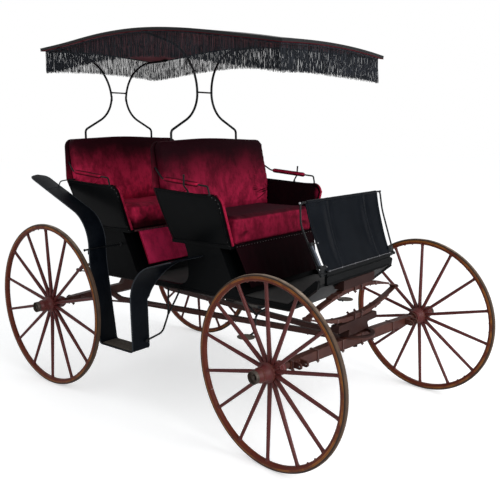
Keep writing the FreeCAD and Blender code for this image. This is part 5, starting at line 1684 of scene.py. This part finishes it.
def makeCanopy():
    values = canopyValues
    half, front, rear = values["half"], values["front"], values["rear"]

    def layer(name, inset, drops, material, replaced, sinks):  # cloth or lining that follows the roof
        grids = []
        for drop in drops:
            grids.append([roofAt(x, y, drop + (slack(x, y) if sinks else 0))
                          for y in span(front + inset, rear - inset, 84)
                          for x in span(inset - half, half - inset, 28)])
        shell = Shell()
        closedSheet(shell, *grids, 29)
        return shell.piece(name, [material], replaced, sharp=60)

    top = layer("canopyCoverSheet", 0.5, (0.3, 3.0), canopyCover, ["canopy_roof"], True)
    under = layer("canopyCeilingSheet", 6, (15.8, 18.2), canopyCeiling, (), False)

    rails, lace, studs = Shell(), Shell(), Shell()
    railSection = roundedBox(*values["railSection"])
    for side in (-1, 1):
        line = [roofAt(side * (half - 5), y, 9.6) for y in span(front + 2, rear - 2, 60)]
        sweep(rails, line, railSection, up=toSky)
        for y in span(front + 18, rear - 18, 51):
            domed(studs, roofAt(side * (half - 0.6), y, 8), Vector((side, 0, 0)), *values["stud"], sides=8)
    for y, axis in ((front + 5, toFront), (rear - 5, toRear)):
        sweep(rails, [roofAt(x, y, 9.6) for x in span(4 - half, half - 4, 24)], railSection, up=toSky)
        for x in span(20 - half, half - 20, 24):
            domed(studs, roofAt(x, y + axis.y * 4.4, 8), axis, *values["stud"], sides=8)
    for bow in values["bows"][1:-1]:
        line = [roofAt(x, bow, 19.4) for x in span(8 - half, half - 8, 24)]
        sweep(rails, line, roundedBox(0.022, 0.0030, 0.001), up=toSky, shade=1)
    ahead, behind, aside = front + 3, rear - 3, half - 3
    rim = ([(aside, y) for y in span(ahead, behind, 60)] + [(x, behind) for x in span(aside, -aside, 24)[1:]]
           + [(-aside, y) for y in span(behind, ahead, 60)[1:]]
           + [(x, ahead) for x in span(-aside, aside, 24)[1:-1]])
    sweep(lace, [roofAt(x, y, 19.0) for x, y in rim], circle(0.0021, 8), up=toSky, closed=True)
    rails.piece("canopyRails", [canopyCover, canopyCeiling], sharp=50)
    cord = lace.piece("canopyRedLace", [redLace])
    studs.piece("canopyStuds", [ironPaint])

    def fringeLines(layer, drop):
        inset = values["fringeInset"] + 1.6 * layer
        edge = half - inset - 0.6
        start, end = front + inset + 0.8, rear - inset - 0.8
        return ([[roofAt(x, y, drop) for y in span(start, end, 80)] for x in (-edge, edge)]
                + [[roofAt(x, y, drop) for x in span(-edge, edge, 28)] for y in (start, end)])

    fringe = makeFringe("canopyFringeThreads", fringeLines)
    braid = Shell()
    for line in fringeLines(0, values["braidTop"]):
        sweep(braid, line, roundedBox(0.0030, 0.0090, 0.0012), up=toSky)
    header = braid.piece("canopyFringeBraid", [fringeThread])


def makeCanopyIrons(seat, waist):
    values = canopyValues
    irons = values["irons"]
    pitch, rise = seatValues[seat]["pitch"], seatValues[seat]["rise"]
    boardBack = 1000 + pitch + 580 * seatValues["lean"] + 12
    along = boardBack + 12.3
    top = 1591.9 + rise
    shoulder = top + 11
    wide, near = irons["shoulder"], irons["upright"]
    tipX = values["half"] - values["fringeInset"] - 5
    tipZ = archAt(along) - values["thick"] + values["crown"] * (1 - (tipX / values["half"]) ** 2) - 7.6
    corner = tipZ - (tipX - near) * math.tan(math.radians(10))
    spread = 55 + (wide - near) * math.tan(math.radians(27))
    foot = [(0.0002, -0.012), (0.0095, -0.012), (0.0095, -0.006), (0.0088, -0.002), (0.0080, 0.008),
            (0.0076, 0.010)]
    ball = [(0.0002, -0.0085), (0.006, -0.006), (0.0085, 0), (0.006, 0.006), (0.0002, 0.0085)]
    shell = Shell()
    for side in (-1, 1):
        points = [at(side * x, along, z) for x, z in ((wide, top - 22), (wide, shoulder + 55),
                                                      (near, shoulder + spread), (near, corner), (tipX, tipZ))]
        sweep(shell, bend(points, irons["bends"], 5), circle(irons["rod"], 14), up=toRear)
        lathe(shell, foot, 14, Matrix.Translation(at(side * wide, along, top - 2)))
        tilt = (Matrix.Translation(at(side * wide, boardBack + 6.3, top))
                @ Matrix.Rotation(-math.radians(9), 4, "X"))
        addBox(shell, (-0.016, -0.006, -0.188), (0.016, 0.0, 0.002), 0.0018, tilt)
        for drop in (-0.170, -0.110, -0.050):
            bolt(shell, (tilt @ Matrix.Translation((0, 0, drop))).translation, tilt.to_3x3() @ toRear, "strap")
        lathe(shell, ball, 14, Matrix.Translation(at(side * near, along, top + waist)))
        pad = roofAt(side * (tipX - 2), along, values["thick"] + 2.0)
        addBox(shell, pad - Vector((0.030, 0.014, 0.0018)), pad + Vector((0.004, 0.014, 0.0018)))
    brace = [at(x, along, top + waist) for x in (-near, near)]
    sweep(shell, brace, circle(irons["brace"], 12), up=toRear)
    shell.piece("canopyIrons" + seat.title(), [ironPaint], ["canopy_irons_" + seat])


makeCanopy()
makeCanopyIrons("front", 309)
makeCanopyIrons("rear", 330)
print("canopy ready")


# fenders and steps

fenderValues = {
    "underside": 703.9,
    "bodyHalf": 400,
    "inner": 530,
    "outer": 660,
    "wheelBase": 1890,
    "tread": (465, 770),        # the step's rear and front ends, before the rear axle
    "stepDrop": 356,
    "radii": (240, 600, 18, 18, 240),
    "camber": 5.0,
    "thick": 4.2,
    "seamAt": 205,
    "tipLength": 60,
    "irons": 0.0060,
}


def fenderCorners():
    base, low = fenderValues["wheelBase"], -fenderValues["stepDrop"]
    rearLeg = base - 388
    treadRear, treadFront = (base - reach for reach in fenderValues["tread"])
    return [(base + 248, 668), (rearLeg + 4, 402), (rearLeg, 146), (treadRear, low), (treadFront, low),
            (treadFront + 12, 133), (treadFront - 345, 230)]


def innerEdge(y, up):  # the front wing widens inwards to the body's side
    inner, body = fenderValues["inner"], fenderValues["bodyHalf"] + 1.5
    if y >= 1175 or up < -54:
        return inner
    if up > 158:
        return body
    share = (up + 54) / 212
    return inner + (body - inner) * share - 9 * math.exp(-(share / 0.16) ** 2)


def makeFender(name, node, side):
    values = fenderValues
    rough = bend([Vector((0, y, up)) for y, up in fenderCorners()], values["radii"], 4)
    path = []
    for point, following in zip(rough, rough[1:]):
        steps = max(1, int((following - point).length / 16))
        path += [point.lerp(following, part / steps) for part in range(steps)]
    path.append(rough[-1])
    runs = [0]
    for point, following in zip(path, path[1:]):
        runs.append(runs[-1] + (following - point).length)
    columns = 14
    wide = columns + 1
    upper, lower = [], []
    for index, point in enumerate(path):
        heading = (path[min(index + 1, len(path) - 1)] - path[max(index - 1, 0)]).normalized()
        normal = Vector((0, -heading.z, heading.y))
        run = runs[index]
        inner, outer = innerEdge(point.y, point.z), values["outer"]
        tip = min(run / values["tipLength"], 1)
        if tip < 1:  # the wing's rounded end
            cut = 42 * (1 - math.sqrt(max(1 - (1 - tip) ** 2, 0)))
            inner, outer = inner + cut, outer - cut
        camber = 0 if point.z < -348 else values["camber"] * min(abs(point.z + 352) / 60, 1)
        for share in span(0, 1, columns):
            x = inner + (outer - inner) * share
            crown = camber * (1 - (2 * share - 1) ** 2) + 0.8 * noise.noise(Vector((x / 60, run / 90, side)))
            for rows, depth in ((upper, 0), (lower, values["thick"])):
                spot = point - normal * (crown + 0.3 - depth)
                rows.append(at(side * x, spot.y, spot.z + values["underside"]))
    skin, trim = Shell(), Shell()
    closedSheet(skin, upper, lower, wide)
    wing = skin.piece(name, [leather], [node], sharp=60)
    for column in (0, columns):
        edge = [(high + low) / 2 for high, low in zip(upper[column::wide], lower[column::wide])]
        sweep(trim, edge, circle(0.0036, 10))
    row = next(index for index, run in enumerate(runs) if run > values["seamAt"])
    sweep(trim, upper[row * wide + 1:row * wide + columns], circle(0.0022, 8))
    seam = trim.piece(name + "Edges", [edgeLeather])


def makeStepPads():  # worn iron treads over the fenders' feet, with the bolts that hold them
    values = fenderValues
    base = values["wheelBase"]
    level = values["underside"] - values["stepDrop"] + 2.5
    button = [(0.0105, 0), (0.0098, 0.0013), (0.0062, 0.0013), (0.0055, 0.0002)]
    shell = Shell()
    for side in (-1, 1):
        near, far = sorted((side * 538, side * 652))
        addBox(shell, at(near, base - 762, level + 0.3), at(far, base - 473, level + 2.3), 0.0008)
        for row in range(9):
            for column in range(3):
                spot = at(side * (560 + column * 35), base - 745 + row * 32, level + 2.2)
                lathe(shell, button, 10, Matrix.Translation(spot))
        for y in (base - 752, base - 483):
            for x in (548, 642):
                domed(shell, at(side * x, y, level + 2.2), toSky, 0.0045, 0.0022)
    shell.piece("fenderStepTreads", [stepIron])


def footedRods(iron, side, rods, boltShift):  # rods bent down from feet bolted beneath the body
    under = fenderValues["underside"]
    for points, radii in rods:
        rod(iron, [at(side * x, y, z + under) for x, y, z in points], radii, fenderValues["irons"])
        x, y, _ = points[0]
        addBox(iron, at(side * x - 11, y - 13, under - 3.4), at(side * x + 11, y + 13, under - 0.4))
        bolt(iron, at(side * x, y + boltShift, under - 3.2), toGround, "light")


def makeFenderIrons():
    values = fenderValues
    under, base = values["underside"], values["wheelBase"]
    half, inner, outer = values["bodyHalf"], values["inner"], values["outer"]
    foreEnd = base - values["tread"][1]
    rear = base - 377.2
    socket = [(0.0002, 0), (0.013, 0), (0.013, 0.003), (0.007, 0.008), (0.006, 0.009)]
    iron = Shell()
    for side in (-1, 1):
        bar = [at(side * x, rear, under + 226) for x in (half + 0.5, outer + 28)]
        sweep(iron, bar, circle(values["irons"], 12), up=toRear)
        domed(iron, bar[1] - Vector((side * 0.001, 0, 0)), Vector((side, 0, 0)), 0.0092, 0.0045, sides=14)
        strap = [at(side * x, rear - 19, under + 232) for x in (inner + 3, outer - 3)]
        sweep(iron, strap, roundedBox(0.005, 0.016, 0.001), up=toRear)
        lathe(iron, socket, 14, Matrix.Translation(bar[0]) @ Matrix.Rotation(side * math.pi / 2, 4, "Y"))
        meet = (half + 30, foreEnd - 70, -159)
        foot = (inner + 30, foreEnd - 8.8, -304)
        long = [(half - 12, foreEnd - 32, -0.3), (half - 12, foreEnd - 32, -16.3), (half + 2, foreEnd - 45, -64),
                meet, (half + 70, foreEnd - 58, -264), foot]
        short = [(half - 12, foreEnd - 128, -0.3), (half - 12, foreEnd - 128, -16.3),
                 (half + 2, foreEnd - 110, -64), meet]
        footedRods(iron, side, ((long, [0.020, 0.060, 0.080, 0.060]), (short, [0.020, 0.060])), 8)
        domed(iron, at(side * foot[0], foot[1] - 4, foot[2] + under), toFront, 0.009, 0.006, sides=14)
        # short stay from the wing's top to the rear seat's corner
        stay = ((541, 84, 1300), (537, 66, 1334), (503, 20, 1344), (483, -24, 1347))
        rod(iron, [at(side * x, base + y, z) for x, y, z in stay], [0.024, 0.030], 0.0042)
    iron.piece("fenderIronRods", [ironPaint], ["fender_irons"])


stepValues = {
    "along": 366,
    "drop": -154,
    "reach": 108,
    "plate": (0.0445, 0.0545),      # half width and half length
    "rings": ((0.90, 0.0002), (0.985, 0.0004), (1.0, 0.0020), (1.0, 0.0052), (0.97, 0.0060),
              (0.90, 0.0060), (0.87, 0.0036), (0.3, 0.0036), (0.01, 0.0036)),
}


def makeFrontSteps():
    values = stepValues
    half = fenderValues["bodyHalf"]
    middle, drop = values["along"], values["drop"]
    plateX = half + values["reach"]
    halfWide, halfLong = values["plate"]
    iron = Shell()
    for side in (-1, 1):
        meet = (half, middle + 20, -54)
        long = [(half - 12, middle - 48, -0.3), (half - 12, middle - 48, -12.3), (half - 7, middle - 16, -32),
                meet, (half + 25, middle + 6, drop + 12), (plateX - 38, middle, drop + 3)]
        short = [(half - 12, middle + 88, -0.3), (half - 12, middle + 88, -12.3), (half - 7, middle + 56, -32),
                 meet]
        footedRods(iron, side, ((long, [0.008, 0.010, 0.050, 0.030]), (short, [0.008, 0.010])), 0)
        # pointed oval plate with a raised rim and ribs
        seat = Matrix.Translation(at(side * plateX, middle, fenderValues["underside"] + drop))
        rows = [seat @ Vector((halfWide * scale * c * abs(c) ** 0.05,
                               halfLong * scale * (1 - 0.06 * abs(s)) * s, z))
                for scale, z in values["rings"] for c, s in circle(1, 40)]
        iron.add(rows, ringFaces(len(values["rings"]), 40), 1)
        for k in range(-3, 4):
            reach = 0.036 * math.sqrt(1 - (k / 4.4) ** 2)
            addBox(iron, seat @ Vector((-reach, k * 0.011 - 0.0016, 0.0034)),
                   seat @ Vector((reach, k * 0.011 + 0.0016, 0.0056)), 0.0006, shade=1)
        bolt(iron, seat @ Vector((-side * 0.036, 0, 0.001)), toGround, "light")
    iron.piece("frontStepRods", [ironPaint, stepIron], ["front_steps"])


edgeLeather = makeLeather("edgeLeather", (0.022, 0.026, 0.031, 1), 0.5, 0.03)
stepIron = makeMetal("stepIron", colors["step"], 0.6, 0.35, 0.20, 0.6, (0.055, 0.030, 0.018, 1))
makeFender("fenderWingLeft", "fender_left", 1)
makeFender("fenderWingRight", "fender_right", -1)
makeStepPads()
makeFenderIrons()
makeFrontSteps()
print("fenders and steps ready")


# built solids that stay in view

shadedPaint = makePaint("shadedPaint", (0.018, 0.0055, 0.0048, 1), (0.034, 0.013, 0.010, 1),
                        (0.10, 0.045, 0.025, 1), 0.55, 0.5, 0.5, 0.05, 0.0, 0.002, 0.12)


def makeBoardWrap():  # velvet over a back board's face and edges, black paint behind
    material, tree, inputs = newMaterial("boardWrap", colors["velvetDeep"], 0.7, Specular_IOR_Level=0.06)
    rearward = facing(tree, "Y")
    deep = (0.012, 0.0008, 0.0026, 1)
    pile = useGroup(tree, "velvetPile", Deep=deep, Light=(0.17, 0.0055, 0.022, 1), Streak=1.0, Top=0.1)
    # painted shade: the velvet is drawn darker towards the top of the board
    cloth = blend(tree, paintedLightRamp(tree, "Z", 1.24, 1.56, 1.0, 0.0), deep, pile["Color"])
    tone = blend(tree, ranged(tree, rearward, 0.55, 0.75), cloth, colors["blackPaint"])
    dusted(tree, inputs, tone, 0.7, 0.02)
    return material


nodeMaterials = {
    gearPaint: ("front_axle", "reaches", "rear_axle", "front_spring", "rear_spring", "fifth_wheel_lower",
                "shaft_couplings"),
    shadedPaint: ("front_bolster", "rear_bolster", "head_block"),
    makeBoardWrap(): ("front_back_board", "rear_back_board"),
    blackPaint: ("body_side_left", "body_side_right", "floor", "body_back_panel", "dash_board",
                 "front_seat_box", "rear_seat_box", "front_arm_panels", "rear_arm_panels"),
}
for material, names in nodeMaterials.items():
    for name in names:
        mesh = bpy.data.objects[name].data
        mesh.materials.clear()
        mesh.materials.append(material)

print("finishing")
